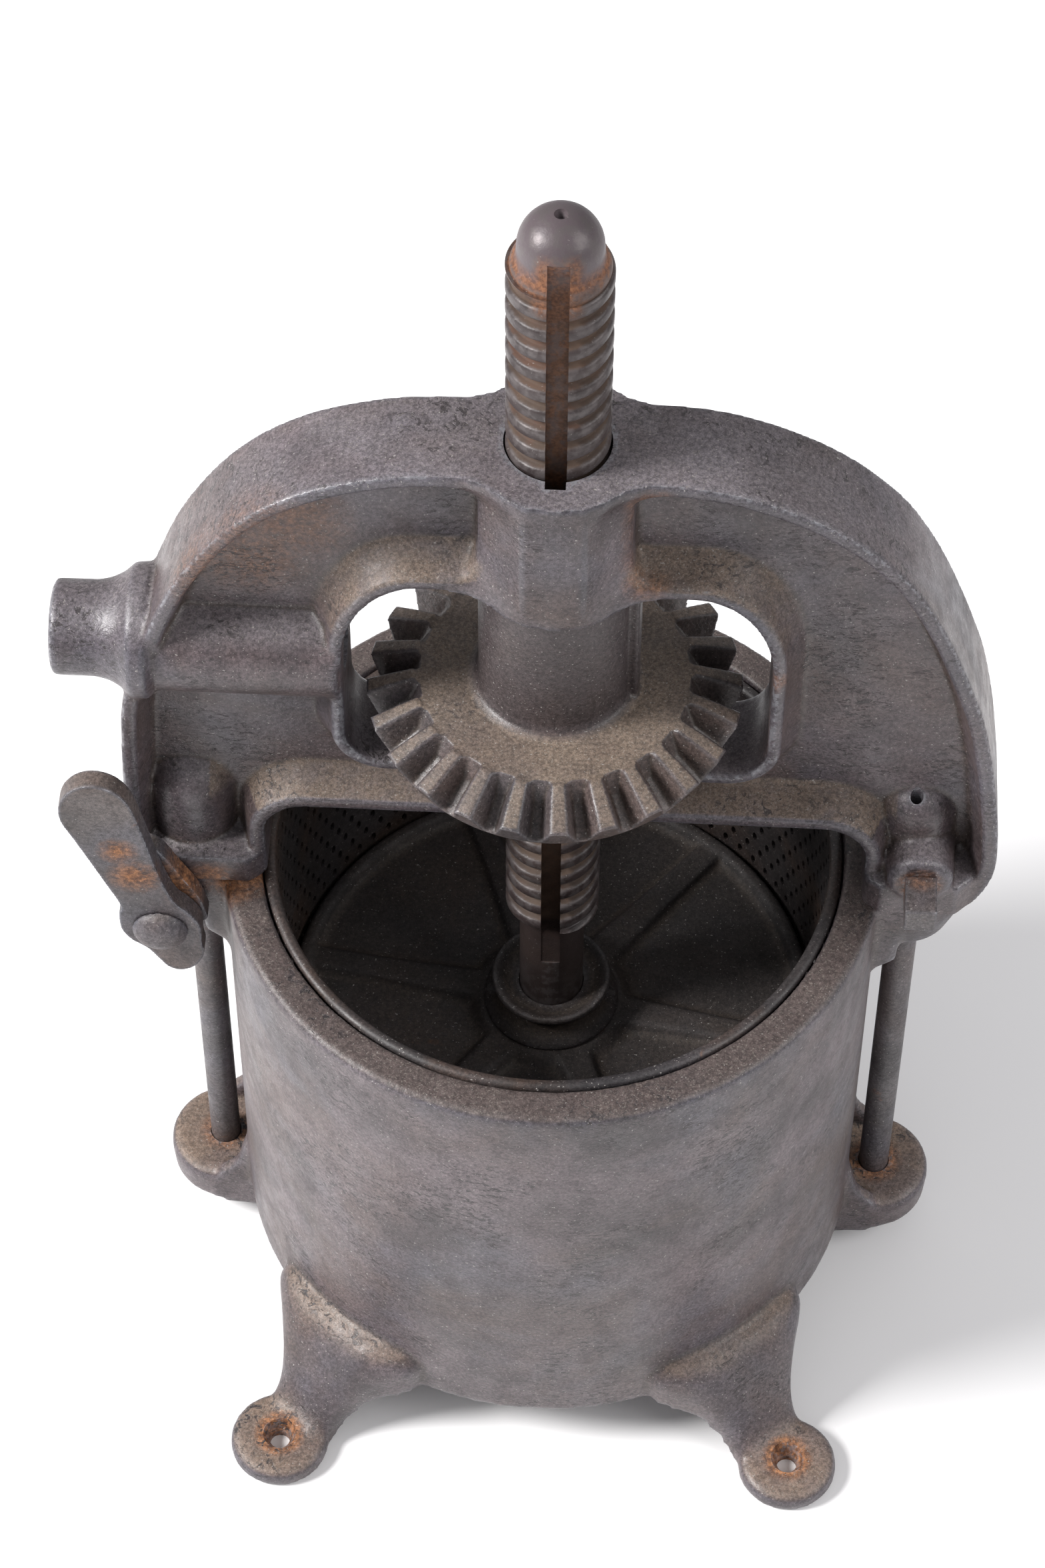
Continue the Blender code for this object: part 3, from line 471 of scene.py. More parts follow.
def steel(name):
    """The press screw: smooth grey crests, a tan film in the thread grooves and rust in the keyway."""
    n = Nodes(name)
    x, y, z = n.split()[:3]
    dx = n.math("SUBTRACT", x, XC * MM)
    radius = n.math("SQRT", n.math("ADD", n.times(dx, dx), n.times(y, y)))
    fine, middle = n.noise(900, 4, 0.6), n.noise(60, 5, 0.6)
    colour = n.mix(n.step(middle, 0.3, 0.7), (0.026, 0.019, 0.019), (0.044, 0.033, 0.033))
    colour = n.mix(n.step(n.noise(24, 4), 0.42, 0.68, 0, 0.5), colour, (0.054, 0.038, 0.032))
    colour = n.mix(n.step(z, SCREW_TOP * MM, (SCREW_TOP + 2) * MM, 0, 0.8), colour, (0.098, 0.078, 0.086))
    threads = n.times(n.step(z, (SCREW_LOW + 1) * MM, (SCREW_LOW + 4) * MM),
                      n.step(z, SCREW_TOP * MM, (SCREW_TOP - 3) * MM))
    deep = n.times(n.step(radius, 13.75 * MM, 13.1 * MM), threads)
    tan = n.mix(n.step(middle, 0.35, 0.65), (0.046, 0.029, 0.021), (0.086, 0.056, 0.039))
    tan = n.mix(n.step(n.noise(38, 6, 0.7), 0.48, 0.66, 0, 0.5), tan, (0.115, 0.046, 0.025))
    colour = n.mix(n.times(deep, 0.92), colour, tan)
    painted = n.times(n.mark("rust"), n.step(n.noise(150, 5, 0.7), 0.22, 0.55))
    rust_tone = n.mix(n.step(fine, 0.35, 0.65), (0.10, 0.042, 0.022), (0.22, 0.095, 0.046))
    colour = n.mix(painted, colour, rust_tone)
    worn = n.times(n.step(n.mark("edge"), 0.3, 0.95), n.step(n.noise(300, 4, 0.6), 0.42, 0.62), 0.6)
    colour = n.mix(worn, colour, (0.115, 0.101, 0.100))
    glint = n.step(n.noise(1300, 2, 0.6), 0.70, 0.75, 0, 0.5)
    colour = n.mix(glint, colour, (0.32, 0.30, 0.28))
    roughness = n.math("ADD", n.step(middle, 0.3, 0.7, 0.36, 0.48),
                       n.times(n.math("MAXIMUM", deep, painted), 0.3), clamp=True)
    normal = n.bump(fine, 0.10, 0.7)
    normal = n.bump(n.noise(170, 4, 0.6), 0.20, 0.5, normal)
    return n.done(colour, roughness, n.times(worn, 0.4), normal, 0.36)


IRON_BODY = iron("body_iron", dust=0.72, rust=0.16, wear=0.4, rough=0.37, pits=1.0)
# The head's pale lilac tone on up-facing faces is dust and a painted sheen
IRON_HEAD = iron(
    "head_iron", tone=(0.082, 0.065, 0.070), dust=0.62, dust_and_sheen_tone=(0.168, 0.152, 0.164),
    rust=0.14, wear=0.6, rough=0.34, pits=0.85, blueness=0.45)
IRON_GEAR = iron(
    "gear_iron", tone=(0.078, 0.063, 0.060), dust=0.95, dust_and_sheen_tone=(0.152, 0.115, 0.088),
    rust=0.1, brownness=0.6, rough=0.42, wear=0.3, blueness=0.3,
    stain_tone=(0.046, 0.036, 0.037), dust_from=0.8)
IRON_PLATE = iron(
    "plate_iron", tone=(0.030, 0.026, 0.026), brown=(0.036, 0.025, 0.020), brownness=0.8,
    dust=0.2, dust_and_sheen_tone=(0.052, 0.040, 0.033), rust=0.3, wear=0.1, rough=0.62, blueness=0.1)
IRON_CLAMP = iron(
    "clamp_iron", tone=(0.080, 0.067, 0.064), brownness=0.7, dust=0.5, rust=0.5, rough=0.5)
STEEL_SCREW = steel("screw_steel")
STEEL_ROD = iron(
    "rod_steel", tone=(0.078, 0.071, 0.073), brownness=0.5, dust=0.1, rust=0.45, wear=0.4,
    rough=0.42, grain=0.6, pits=0.4)
TIN = iron(
    "sheet_tin", tone=(0.038, 0.033, 0.033), brown=(0.064, 0.040, 0.029), brownness=0.9,
    dust=0.0, rust=0.45, wear=0.1, rough=0.48, grain=0.5, pits=0.4, blueness=0.1)


def rust_near(obj, spots):
    """Marks rust round points: (x, y, z, full radius, fade radius)."""
    points = arrays(obj)[0] / MM
    mark = np.zeros(len(points))
    for x, y, z, full, fade in spots:
        far = np.linalg.norm(points - np.array((x + XC, y, z)), axis=1)
        mark = np.maximum(mark, ((fade - far) / (fade - full)).clip(0, 1))
    attribute(obj, "rust", mark)


def mark_where(obj, name, test):
    """Marks the points for which test(x, y, z, radius) is true, in mm, with the screw axis at x = 0."""
    x, y, z = (arrays(obj)[0] / MM - np.array((XC, 0, 0))).T
    attribute(obj, name, test(x, y, z, np.hypot(x, y)).astype(float))


# ------------------------------------------------------------------ cylinder casting
R_OUT, R_RIM, R_IN = 98.0, 86.7, 90.0  # the wall outside, at the rim and inside
FLOOR_T, SKIRT = 32.0, 23.0            # heights of the floor inside and of the wall's lower edge
FOOT_X, FOOT_Y, PAD_R, EAR_R, ROD_R = 80.8, 101.6, 15.5, 18.3, 4.76
OUTLET_Z = 53  # height of the outlet's axis
OUTLET_BORE_R = 13.5
SPOT_FACE_R = 9.4  # the flat under an ear, for the washer
# A leg's rows are (distance from the axis, half width, top, bottom)
LEG = [(91, 29, 42.5, 25), (98, 28, 42, 23.6), (104, 22, 39.5, 21), (109, 17, 33, 15),
       (113, 13.8, 24, 8), (117, 12.2, 15, 1.5), (122, 11.8, 8.5, 0.4), (128, 12.4, 6.6, 0.4)]
PAD = [(0, 7), (PAD_R - 2.0, 7), (PAD_R, 5), (PAD_R, 1.0), (PAD_R - 1, 0), (0, 0)]
FOOT_HOLE = [(0, -2), (3.2, -2), (3.2, 3.2), (5.4, 7.4), (5.4, 12), (0, 12)]
EAR = [(0, 25), (EAR_R - 2.5, 25), (EAR_R - 0.7, 24), (EAR_R, 22), (EAR_R - 0.6, 12),
       (EAR_R - 3, 9), (0, 9)]
EAR_ROOT = [(91.5, -19.5), (97.4, -19), (106, -18.1), (106, 18.1), (97.4, 19), (91.5, 19.5)]
EAR_WEB = [(91, 52), (97.6, 44), (101, 33), (107, 25.5), (109, 12)]
SOCKET = [(0, H), (16.8, H), (17.8, H - 1), (17.4, H - 11), (13.6, H - 23), (9.5, H - 28), (0, H - 28)]
SOCKET_ROOT = [(92.2, H - 38), (104, H - 27.8), (104, H - 0.02), (92.2, H - 0.02)]
OUTLET = [(0, 88), (19, 88), (19, 103), (21.5, 106), (21.5, 115), (20.5, 116), (0, 116)]
body = lathe([
    (0, FLOOR_T), (R_IN - 4, FLOOR_T), (R_IN, FLOOR_T + 4), (R_IN, H - 16), (R_RIM, H - 12),
    (R_RIM, H - 0.6), (R_RIM + 0.6, H), (96.2, H), (97.3, H - 0.4), (R_OUT, H - 1.5),
    (R_OUT, SKIRT + 1), (R_OUT - 1.5, SKIRT), (0, SKIRT)], 240)


def leg(angle):
    """A leg with rounded shoulders, pointing away from the axis at an angle."""
    sections = []
    for r, w, zt, zb in curve(LEG, 4):
        k = min(7.0, (zt - zb) * 0.45)
        sections.append((r, [
            (-w, zb), (-w, zt - k), (-w * 0.95, zt - k * 0.65), (-w * 0.86, zt - k * 0.3), (-w * 0.62, zt),
            (w * 0.62, zt), (w * 0.86, zt - k * 0.3), (w * 0.95, zt - k * 0.65), (w, zt - k), (w, zb)]))
    return spoke(sections, angle)


parts = []
for sx in (-1, 1):
    for sy in (-1, 1):
        fx, fy = sx * FOOT_X, sy * FOOT_Y
        parts.append(leg(math.atan2(fy, fx)))
        parts.append(lathe(PAD, 64, at=(fx, fy, 0)))
    parts.append(lathe(EAR, 64, at=(sx * (ROD_X - 0.4), 0, 0)))
    parts.append(prism([(sx * x, y) for x, y in EAR_ROOT][::sx], 9.2, 24.9, "Z"))
    web = [(sx * 91, 12)] + curve([(sx * x, z) for x, z in EAR_WEB], 5)
    for y in (-16, 16):
        parts.append(prism(web, y - 2.6, y + 2.6))
    parts.append(lathe(SOCKET, 64, at=(sx * ROD_X, 0, 0)))
    parts.append(prism([(sx * x, z) for x, z in SOCKET_ROOT], -17.6, 17.6))
parts.append(lathe(OUTLET, 96, "Y", (0, 0, OUTLET_Z)))
heap(body, *parts)
cast(body, 1.2, 6, 0.10, edges=False)
cuts = [drill(OUTLET_BORE_R, 80, 118, 64, "Y", (0, 0, OUTLET_Z)),
        drill(RIVET_HOLE_R, -30, -8, 32, "Y", (PIVOT_X, 0, PIVOT_Z)),
        block(-150, 150, -150, 150, -5, 0.0)]
for sx in (-1, 1):
    cuts.append(drill(ROD_R + GAP, 5, H + 4, 40, at=(sx * ROD_X, 0, 0)))
    cuts.append(drill(SPOT_FACE_R, 5, 12.5, 40, at=(sx * ROD_X, 0, 0)))
    for sy in (-1, 1):
        cuts.append(lathe(FOOT_HOLE, 40, at=(sx * FOOT_X, sy * FOOT_Y, 0)))
cut(body, *cuts)
mark_edges(body, 4, 0.48)
mark_where(body, "stain", lambda x, y, z, radius: (z > H - 0.9) & (radius < 96.8))
feet = [(sx * FOOT_X, sy * FOOT_Y, 5.5, 6.4, 8.8) for sx in (-1, 1) for sy in (-1, 1)]
rust_near(body, feet + [(-88, -14, H, 2, 11), (-94, -19, H - 3, 3, 10),
                        (-ROD_X, 0, 25, 4, 9), (ROD_X, 0, 25, 5, 10)])
finish(body, "cylinder_surface", "frame", "cylinder_casting", IRON_BODY)

# ------------------------------------------------------------------ head casting
HEAD_Y, RIM_Y, WEB_Y = 14.8, 14.1, 3.4        # half thickness of the flange, the window's rim and the web
CRANK_Z = 94.0                                # height of the crank bearing over the rim plane
COLUMN_LOW, COLUMN_TOP = H + 133.9, H + 181.4
HEAD_BORE_R, CRANK_BORE_R, SET_HOLE_R, OIL_HOLE_R = 14.6, 8.2, 4.3, 1.9
ARCH = [
    (-122.0, 0.3), (-123.4, 8), (-124.5, 18), (-124.3, 38), (-123.6, 56), (-122.4, 74), (-120, 86),
    (-116, 100), (-111, 115.5), (-105, 130.4), (-97, 144.6), (-89, 155.4), (-81, 163.4), (-73, 169.2),
    (-65, 173.6), (-56, 177.0), (-44, 180.2), (-30, 181.5), (0, 181.5), (30, 181.5), (45, 179.6),
    (55.3, 176.4), (64.5, 172.3), (73.7, 167.0), (83.2, 159.6), (91, 151.6), (97.2, 143.6),
    (103.4, 132.4), (108.6, 121), (112.8, 110), (117, 98), (121.2, 84), (125.2, 64), (128, 44),
    (129.3, 32), (130.0, 18), (128.2, 8), (125.0, 0.3)]
OPENING = ([(91.8, 0.3)] + arc(91.8 - 14, 32.8 - 14, 14, 0, 90, 10)
           + arc(-84 + 13, 32.8 - 13, 13, 90, 180, 10) + [(-84, 0.3)])
outline = [(x, H + z) for x, z in (curve(ARCH, 5) + OPENING)][::-1]
WX0, WX1, WZ0, WZ1 = -59.0, 61.0, H + 55.5, H + 133.7  # the window's sides, foot and top
window = opening(WX0, WX1, WZ0, WZ1, 23, 33, 12)
lip = opening(WX0 - 3.3, WX1 + 3.3, WZ0 - 3.6, WZ1 + 4.2, 25.5, 36, 15)
slope = opening(WX0 - 5.3, WX1 + 5.3, WZ0 - 5.4, WZ1 + 6.0, 26.5, 37, 17)
root = opening(WX0 - 9.6, WX1 + 9.6, WZ0 - 9.5, WZ1 + 10.6, 29, 41, 21)
rim = ring_skin([(-RIM_Y, window), (-RIM_Y, lip), (-8.5, slope), (-2.6, root),
                 (2.6, root), (8.5, slope), (RIM_Y, lip), (RIM_Y, window)])

# A quarter of the column's section, of the flare at its top and of the flare over the window
STEM = [(0, -24.6), (8.4, -24.6), (12.5, -20.3), (16.5, -16.3), (18.7, -14.0), (20.8, -11.5), (21.5, 0)]
CAP = [(0, -25.0), (8.0, -24.0), (13.5, -21.0), (18.5, -17.0), (24.0, -14.9), (34.0, -14.3), (34.0, 0)]
FOOT = [(0, -25.0), (8.0, -24.0), (13.5, -21.0), (18.0, -17.3), (23.0, -15.0), (31.0, -14.3), (31.0, 0)]
FLATTER = 0.1  # how much flatter the column's back is than its front


def column_section(flare, share):
    """The column's whole outline, share of the way from the stem to a flare."""
    quarter = [(a + (c - a) * share, b + (d - b) * share) for (a, b), (c, d) in zip(STEM, flare)]
    back = [(x, -y * (1 - FLATTER * max(0, 1 - x / 24))) for x, y in quarter[-2::-1]]
    right = quarter + back
    return right + [(-x, y) for x, y in right[-2:0:-1]]


low_outline = column_section(FOOT, 1.0)
low_heights = [H + 131.6 + 2.3 * min(1, max(0, (abs(x) - 14) / 15)) ** 1.5 for x, y in low_outline]
sections = [(low_heights, low_outline)]
for rise in (0.5, 1.5, 3, 5, 7.5, 10.5, 15):
    sections.append((COLUMN_LOW + rise, column_section(FOOT, (1 - rise / 15) ** 2.4)))
for drop in (13, 10, 8, 6, 4.5, 3.2, 0):
    share = max(0, 1 - (drop - 3.2) / 9) ** 2.2 if drop > 3.2 else 1.0
    sections.append((COLUMN_TOP - drop, column_section(CAP, share)))

GEAR_SEAT = [(0, 33.4), (20.0, 33.4), (21, 35), (21, 56.2), (20.2, 58.2), (0, 58.2)]
CRANK_BOSS = [(0, -141.5), (12.7, -141.5), (13.7, -140.5), (13.7, -129), (14.6, -125), (16.4, -121.6),
              (19.2, -118.6), (19.5, -114), (16.8, -112), (16.8, -60), (0, -60)]
LEFT_FOOT = [(-117.5, -16.4), (-112, -18.4), (-89, -18.4), (-85.6, -15.6), (-85.6, 17.5), (-119, 17.5)]
RIGHT_FOOT = [(92.6, -16.4), (97, -19.4), (119, -19.4), (124.2, -14.5), (124.2, 16.2), (92.6, 16.2)]
SET_SCREW_BOSS = [(0, -20.6), (8.2, -20.6), (9.6, -19), (10.4, 0), (0, 0)]
head = cut(prism(outline, -WEB_Y, WEB_Y), prism(window, -40, 40))
flange_lip, flange_root = inset(outline, 4.2), inset(outline, 8.0)
parts = [
    ring_skin([(-HEAD_Y, outline), (HEAD_Y, outline), (HEAD_Y, flange_lip),
               (2.8, flange_root), (-2.8, flange_root), (-HEAD_Y, flange_lip)]),
    rim,
    loft(sections),
    lathe(GEAR_SEAT, 96, at=(0, 0, H)),
    lathe(CRANK_BOSS, 96, "X", (0, 0, H + CRANK_Z)),
    prism(LEFT_FOOT, H - 2, H + 10.6, "Z"),
    prism(RIGHT_FOOT, H - 1.3, H + 13.0, "Z"),
    lathe(SET_SCREW_BOSS, 64, "Y", (SET_X, 0, SET_Z)),
]
for sx, r, top in ((-1, 12.8, 28.2), (1, 11.0, 30.0)):
    dome = [(0, -3), (r + 0.6, -3), (r + 0.4, 20)] + arc(0, top, r, 0, 86, 9) + [(0, top + r)]
    parts.append(lathe(dome, 64, at=(sx * ROD_X, 0, H)))
heap(head, *parts)
cast(head, 0.95, 4, 0.14, edges=False)
cut(head,
    block(-150, 150, -40, 40, H - 30, H + GAP),
    drill(HEAD_BORE_R, H + 20, H + 200, 96),
    block(-2.8, 2.8, -17.0, 0, H + 120, H + 200),
    drill(CRANK_BORE_R, -150, -40, 64, "X", (0, 0, H + CRANK_Z)),
    drill(ROD_R + GAP, -5, 25.4, 40, at=(-ROD_X, 0, H)),
    drill(ROD_R + GAP, -5, 33, 40, at=(ROD_X, 0, H)),
    drill(SET_HOLE_R, -30, -2, 40, "Y", (SET_X, 0, SET_Z)),
    drill(OIL_HOLE_R, 30, 44, 24, at=(ROD_X - 1, -5.6, H)))
mark_edges(head, 4, 0.36)


def dusty_ledges(x, y, z, radius):
    """The ledge over the head's opening, and the slope over the window."""
    ledge = (z > H + 29) & (z < H + 44) & (abs(x) < 100)
    over_window = (z > WZ1 - 22) & (z < WZ1 + 14) & (abs(x) > 17) & (abs(x) < 74)
    return (abs(y) < 14) & (ledge | over_window)


mark_where(head, "film", dusty_ledges)
rust_near(head, [(SET_X, -20, SET_Z, 3, 8), (-100, -17, H + 2, 2, 8), (62, -17, H + 100, 0, 6)]
          + [(26, -16, z, 0, 9) for z in np.arange(H + 142, H + 178, 6)]
          + [(x, -18, z, 0, 24) for x, z in ((-84, H + 134), (-72, H + 148))])
finish(head, "head_surface", "frame", "head_casting", IRON_HEAD)

# ------------------------------------------------------------------ press screw
SCREW_R, PITCH, THREAD_D = 14.1, 7.62, 2.4
NECK_R = 9.8


def threaded(low, high, seg=72):
    """A right-hand thread with a rounded crest, closed at both ends well beyond low and high."""
    root = SCREW_R - THREAD_D
    part = [(root + 0.15, 0.07), (root + 0.7, 0.115), (root + 1.7, 0.16), (SCREW_R - 0.25, 0.215),
            (SCREW_R, 0.28), (SCREW_R, 0.60), (SCREW_R - 0.25, 0.665), (root + 1.7, 0.72),
            (root + 0.7, 0.765), (root + 0.15, 0.81), (root, 0.94)]
    n = len(part)
    turns = int((high - low) / PITCH) + 4
    base = math.floor(low / PITCH) * PITCH - 2 * PITCH
    cols = turns * seg + 1
    verts = []
    for i in range(cols):
        a = 2 * math.pi * i / seg
        verts += [(r * math.cos(a), r * math.sin(a), base + PITCH * (i / seg + dz)) for r, dz in part]
    faces = []
    for i in range(cols - 1):
        a, b = n * i, n * (i + 1)
        faces += [(a + k, b + k, b + k + 1, a + k + 1) for k in range(n - 1)]
        if i + 1 + seg < cols:
            faces.append((a + n - 1, b + n - 1, n * (i + 1 + seg), n * (i + seg)))
    bottom, top, last = len(verts), len(verts) + 1, cols - 1
    verts += [(0, 0, base - PITCH), (0, 0, base + PITCH * (turns + 2))]
    for i in range(seg):
        faces.append((n * i, n * (i + 1), bottom))
        j = last - seg + i
        faces.append((n * j + n - 1, n * (j + 1) + n - 1, top))
    for k in range(n - 1):
        faces.append((bottom, k, k + 1))
        faces.append((top, n * last + k, n * last + k + 1))
    faces += [(bottom, n - 1, n * seg), (top, n * last, n * (last - seg) + n - 1)]
    return mesh_object("screw", verts, faces)


screw = threaded(SCREW_LOW, SCREW_TOP)
cut(screw, block(-30, 30, -30, 30, SCREW_LOW - 60, SCREW_LOW),
    block(-30, 30, -30, 30, SCREW_TOP, SCREW_TOP + 60))
DOME_R, DOME_Z = 11.3, SCREW_TOP + 6.4
dome = [(0, SCREW_TOP - 8), (12.6, SCREW_TOP - 8), (13.3, SCREW_TOP - 0.5), (12.9, SCREW_TOP + 1.0),
        (11.9, SCREW_TOP + 2.2), (11.4, SCREW_TOP + 3.6), (DOME_R, DOME_Z)]
dome += arc(0, DOME_Z, DOME_R, 8, 80, 9) + [(0, DOME_Z + DOME_R)]
shank = [(0, H - 96), (6.2, H - 96), (6.2, H - 79.6), (NECK_R, H - 79.6), (NECK_R, H - 33),
         (10.2, H - 30), (11.4, H - 27), (11.4, H - 20), (0, H - 20)]
join(screw, lathe(shank, 72), lathe(dome, 72))
SLOT_W = 5.8
keyway = [(-19, SCREW_LOW - 20), (-9.2, SCREW_LOW - 20), (-9.2, SCREW_TOP + 4), (-9.0, DOME_Z - 1),
          (-10.2, DOME_Z + 3.2), (-19, DOME_Z + 6)]
centre_hole = [(0, DOME_Z + DOME_R - 3), (0.8, DOME_Z + DOME_R - 2.4), (1.7, DOME_Z + DOME_R - 0.6),
               (2.1, DOME_Z + DOME_R + 1), (0, DOME_Z + DOME_R + 1)]
cut(screw,
    prism(keyway, -SLOT_W / 2, SLOT_W / 2, "X"),
    lathe(centre_hole, 24),
    drill(PIN_HOLE_R, -25, 25, 24, "X", (0, 0, PIN_Z)))
mark_edges(screw, 2, 0.12)
slot_sides = [(x, -11, z, 1.5, 4.5) for x in (-3.2, 3.2)
              for z in np.arange(SCREW_TOP - 4, DOME_Z + 4, 2.5)]
dome_foot = [(12 * math.cos(a), 12 * math.sin(a), SCREW_TOP + 1.5, 1, 3.5)
             for a in np.arange(0, 6.28, 0.15)]
rust_near(screw, slot_sides + dome_foot)
finish(screw, "screw_surface", "ram", "press_screw", STEEL_SCREW, 50)

# ------------------------------------------------------------------ presser plate and its collar
PLATE_R, PLATE_TOP, PLATE_LOW = 81.4, H - 80.0, H - 92.0
PLATE_BOSS = [(0, PLATE_TOP + 0.2), (22, PLATE_TOP + 0.2), (25, PLATE_TOP - 2), (25, PLATE_LOW + 2),
              (0, PLATE_LOW + 2)]
# A rib's rows are (distance from the axis, half width, top)
RIB = [(6, 8.0, PLATE_TOP), (30, 6.0, PLATE_TOP), (55, 5.0, PLATE_TOP - 0.6),
       (PLATE_R - 3.5, 5.0, PLATE_TOP - 0.9)]
plate = lathe([
    (0, PLATE_TOP - 3), (PLATE_R - 6.5, PLATE_TOP - 3), (PLATE_R - 5, PLATE_TOP - 2.2),
    (PLATE_R - 4.4, PLATE_TOP - 0.4), (PLATE_R - 3.6, PLATE_TOP), (PLATE_R - 1, PLATE_TOP),
    (PLATE_R, PLATE_TOP - 1), (PLATE_R, PLATE_LOW + 1), (PLATE_R - 1, PLATE_LOW), (0, PLATE_LOW)], 192)
sections = []
for r, w, zt in RIB:
    sections.append((r, [(-w, PLATE_LOW + 3), (-w, zt - 2.4), (-w * 0.7, zt),
                         (w * 0.7, zt), (w, zt - 2.4), (w, PLATE_LOW + 3)]))
parts = [spoke(sections, math.radians(51 + 60 * k)) for k in range(6)]
parts.append(lathe(PLATE_BOSS, 96))
heap(plate, *parts)
cast(plate, 1.0, 4, 0.12, edges=False)
cut(plate, drill(PLATE_HOLE_R, PLATE_LOW - 5, PLATE_TOP + 5, 48))
mark_edges(plate, 5, 0.45)
finish(plate, "plate_surface", "ram", "presser_plate", IRON_PLATE)

collar = lathe(curve([
    (NECK_R + GAP, PLATE_TOP + 0.6), (20.0, PLATE_TOP + 0.6), (20.4, PLATE_TOP + 2.0),
    (17.6, PLATE_TOP + 4.4), (16.2, PLATE_TOP + 8.0), (18.2, PLATE_TOP + 10.6), (18.2, PLATE_TOP + 12.2),
    (16.9, PLATE_TOP + 12.6), (13.4, PLATE_TOP + 10.0), (NECK_R + GAP, PLATE_TOP + 9.4)], 3), 96)
cut(collar, drill(PIN_HOLE_R, -25, 25, 24, "X", (0, 0, PIN_Z)))
mark_edges(collar, 3, 0.2)
finish(collar, "collar_surface", "ram", "plate_hub_collar", IRON_PLATE)

# ------------------------------------------------------------------ gear nut
TEETH, STEPS = 24, 8          # STEPS points go round for each tooth
AROUND = TEETH * STEPS
HUB_TOP = H + 131.0
GEAR_BORE_R = 14.4
GEAR_TURN = 4.0               # where the teeth stand at rest, degrees
RIB_TURN = math.radians(-14)  # the thin rib up the hub
HUB = [(0, G - 2), (25.2, G - 2), (24.6, G + 0.3), (22.9, G + 1.2), (21.9, G + 3.4), (21.7, G + 6),
       (21.7, HUB_TOP - 1), (20.9, HUB_TOP), (0, HUB_TOP)]
LOWER_BOSS = [(0, G - 21.6), (19, G - 21.6), (19.8, G - 20.8), (19.8, G - 10), (0, G - 10)]
# Rings of points, from the underside out over the toothed rim and in to the flat ring
rings = []
for kind in ("low", "rim", "lip", "out", "mid", "in", "ring", "base"):
    ring = []
    for i in range(AROUND):
        tooth, k = divmod(i, STEPS)
        tip = k in (2, 3, 4, 5)
        if kind in ("out", "mid", "in"):
            frac = (0.03, 0.13, 0.30, 0.36, 0.64, 0.70, 0.87, 0.97)[k]
        else:
            frac = (k + 0.5) / STEPS
        lift = 1.0 if k in (3, 4) else 0.93
        a = 2 * math.pi * (tooth + frac + 0.5) / TEETH + math.radians(GEAR_TURN - 90)
        r, z = {
            "low": (43.0, G - 16.2), "rim": (48.9, G - 15.0), "lip": (49.5, G - 14.0),
            "out": (53.7, G - 12.6 + 8.0 * lift) if tip else (50.4, G - 12.6),
            "mid": (47.2, G - 9.6 + 7.8 * lift) if tip else (46.4, G - 9.6),
            "in": (40.2, G - 6.4 + 7.2 * lift) if tip else (41.6, G - 6.4),
            "ring": (38.4, G), "base": (25.0, G)}[kind]
        ring.append((r * math.cos(a), r * math.sin(a), z))
    rings.append(ring)
verts = [p for r in rings for p in r]
faces = []
for i in range(len(rings) - 1):
    for k in range(AROUND):
        a, b = i * AROUND + k, i * AROUND + (k + 1) % AROUND
        faces.append((a, b, b + AROUND, a + AROUND))
verts += [(0, 0, G - 15.0), (0, 0, G)]
last = (len(rings) - 1) * AROUND
for k in range(AROUND):
    after = (k + 1) % AROUND
    faces.append((k, len(verts) - 2, after))
    faces.append((last + k, last + after, len(verts) - 1))
gear = mesh_object("gear", verts, faces)
c, s = math.cos(RIB_TURN), math.sin(RIB_TURN)
corners = ((20.2, -1.9), (24.4, -1.9), (24.4, 1.9), (20.2, 1.9))
rib = prism([(c * x - s * y, s * x + c * y) for x, y in corners], G - 1, HUB_TOP - 6, "Z")
heap(gear, lathe(HUB, 144), lathe(LOWER_BOSS, 96), rib)
cast(gear, 0.55, 2, 0.10, edges=False)
cut(gear, drill(GEAR_BORE_R, G - 30, HUB_TOP + 4, 96))
mark_edges(gear, 5, 0.32)
mark_where(gear, "stain", lambda x, y, z, radius: (z > G + 1.5) & (radius < 26))
finish(gear, "gear_surface", "gear", "gear_nut", IRON_GEAR)

# ------------------------------------------------------------------ strainer
STRAIN_R, STRAIN_T = 84.2, 1.2
low, high = FLOOR_T + GAP, H - 4.6
COLS, ROWS = 84, 24
HOLE_W, HOLE_H = 1.05, 1.9  # half of a hole's width and height
step_z = (high - low - 8) / ROWS
verts, faces = [], []
index = {}


def point(key, angle, z, depth):
    if key not in index:
        index[key] = len(verts)
        verts.append(((STRAIN_R - depth) * math.cos(angle), (STRAIN_R - depth) * math.sin(angle), z))
    return index[key]


levels = [low, low + 4] + [low + 4 + step_z * (r + 1) for r in range(ROWS)] + [high]
for depth, side in ((0.0, 0), (STRAIN_T, 1)):
    for r in range(len(levels) - 1):
        for c in range(COLS * 2):
            a0, a1 = (2 * math.pi * (c + k) / (COLS * 2) for k in (0, 1))
            after = (c + 1) % (COLS * 2)
            corner = [point((side, r, c), a0, levels[r], depth),
                      point((side, r, after), a1, levels[r], depth),
                      point((side, r + 1, after), a1, levels[r + 1], depth),
                      point((side, r + 1, c), a0, levels[r + 1], depth)]
            holed = 0 < r < len(levels) - 2 and c % 2 == r % 2
            if not holed:
                faces.append(tuple(corner))
                continue
            mid_a, mid_z = (a0 + a1) / 2, (levels[r] + levels[r + 1]) / 2
            ring = []
            for k in range(8):
                t = math.radians(225 + 45 * k)
                angle, z = mid_a + HOLE_W / STRAIN_R * math.cos(t), mid_z + HOLE_H * math.sin(t)
                ring.append(point((side, "hole", r, c, k), angle, z, depth))
            for k in range(4):
                faces.append((corner[k], corner[(k + 1) % 4],
                              ring[(2 * k + 2) % 8], ring[2 * k + 1], ring[2 * k]))
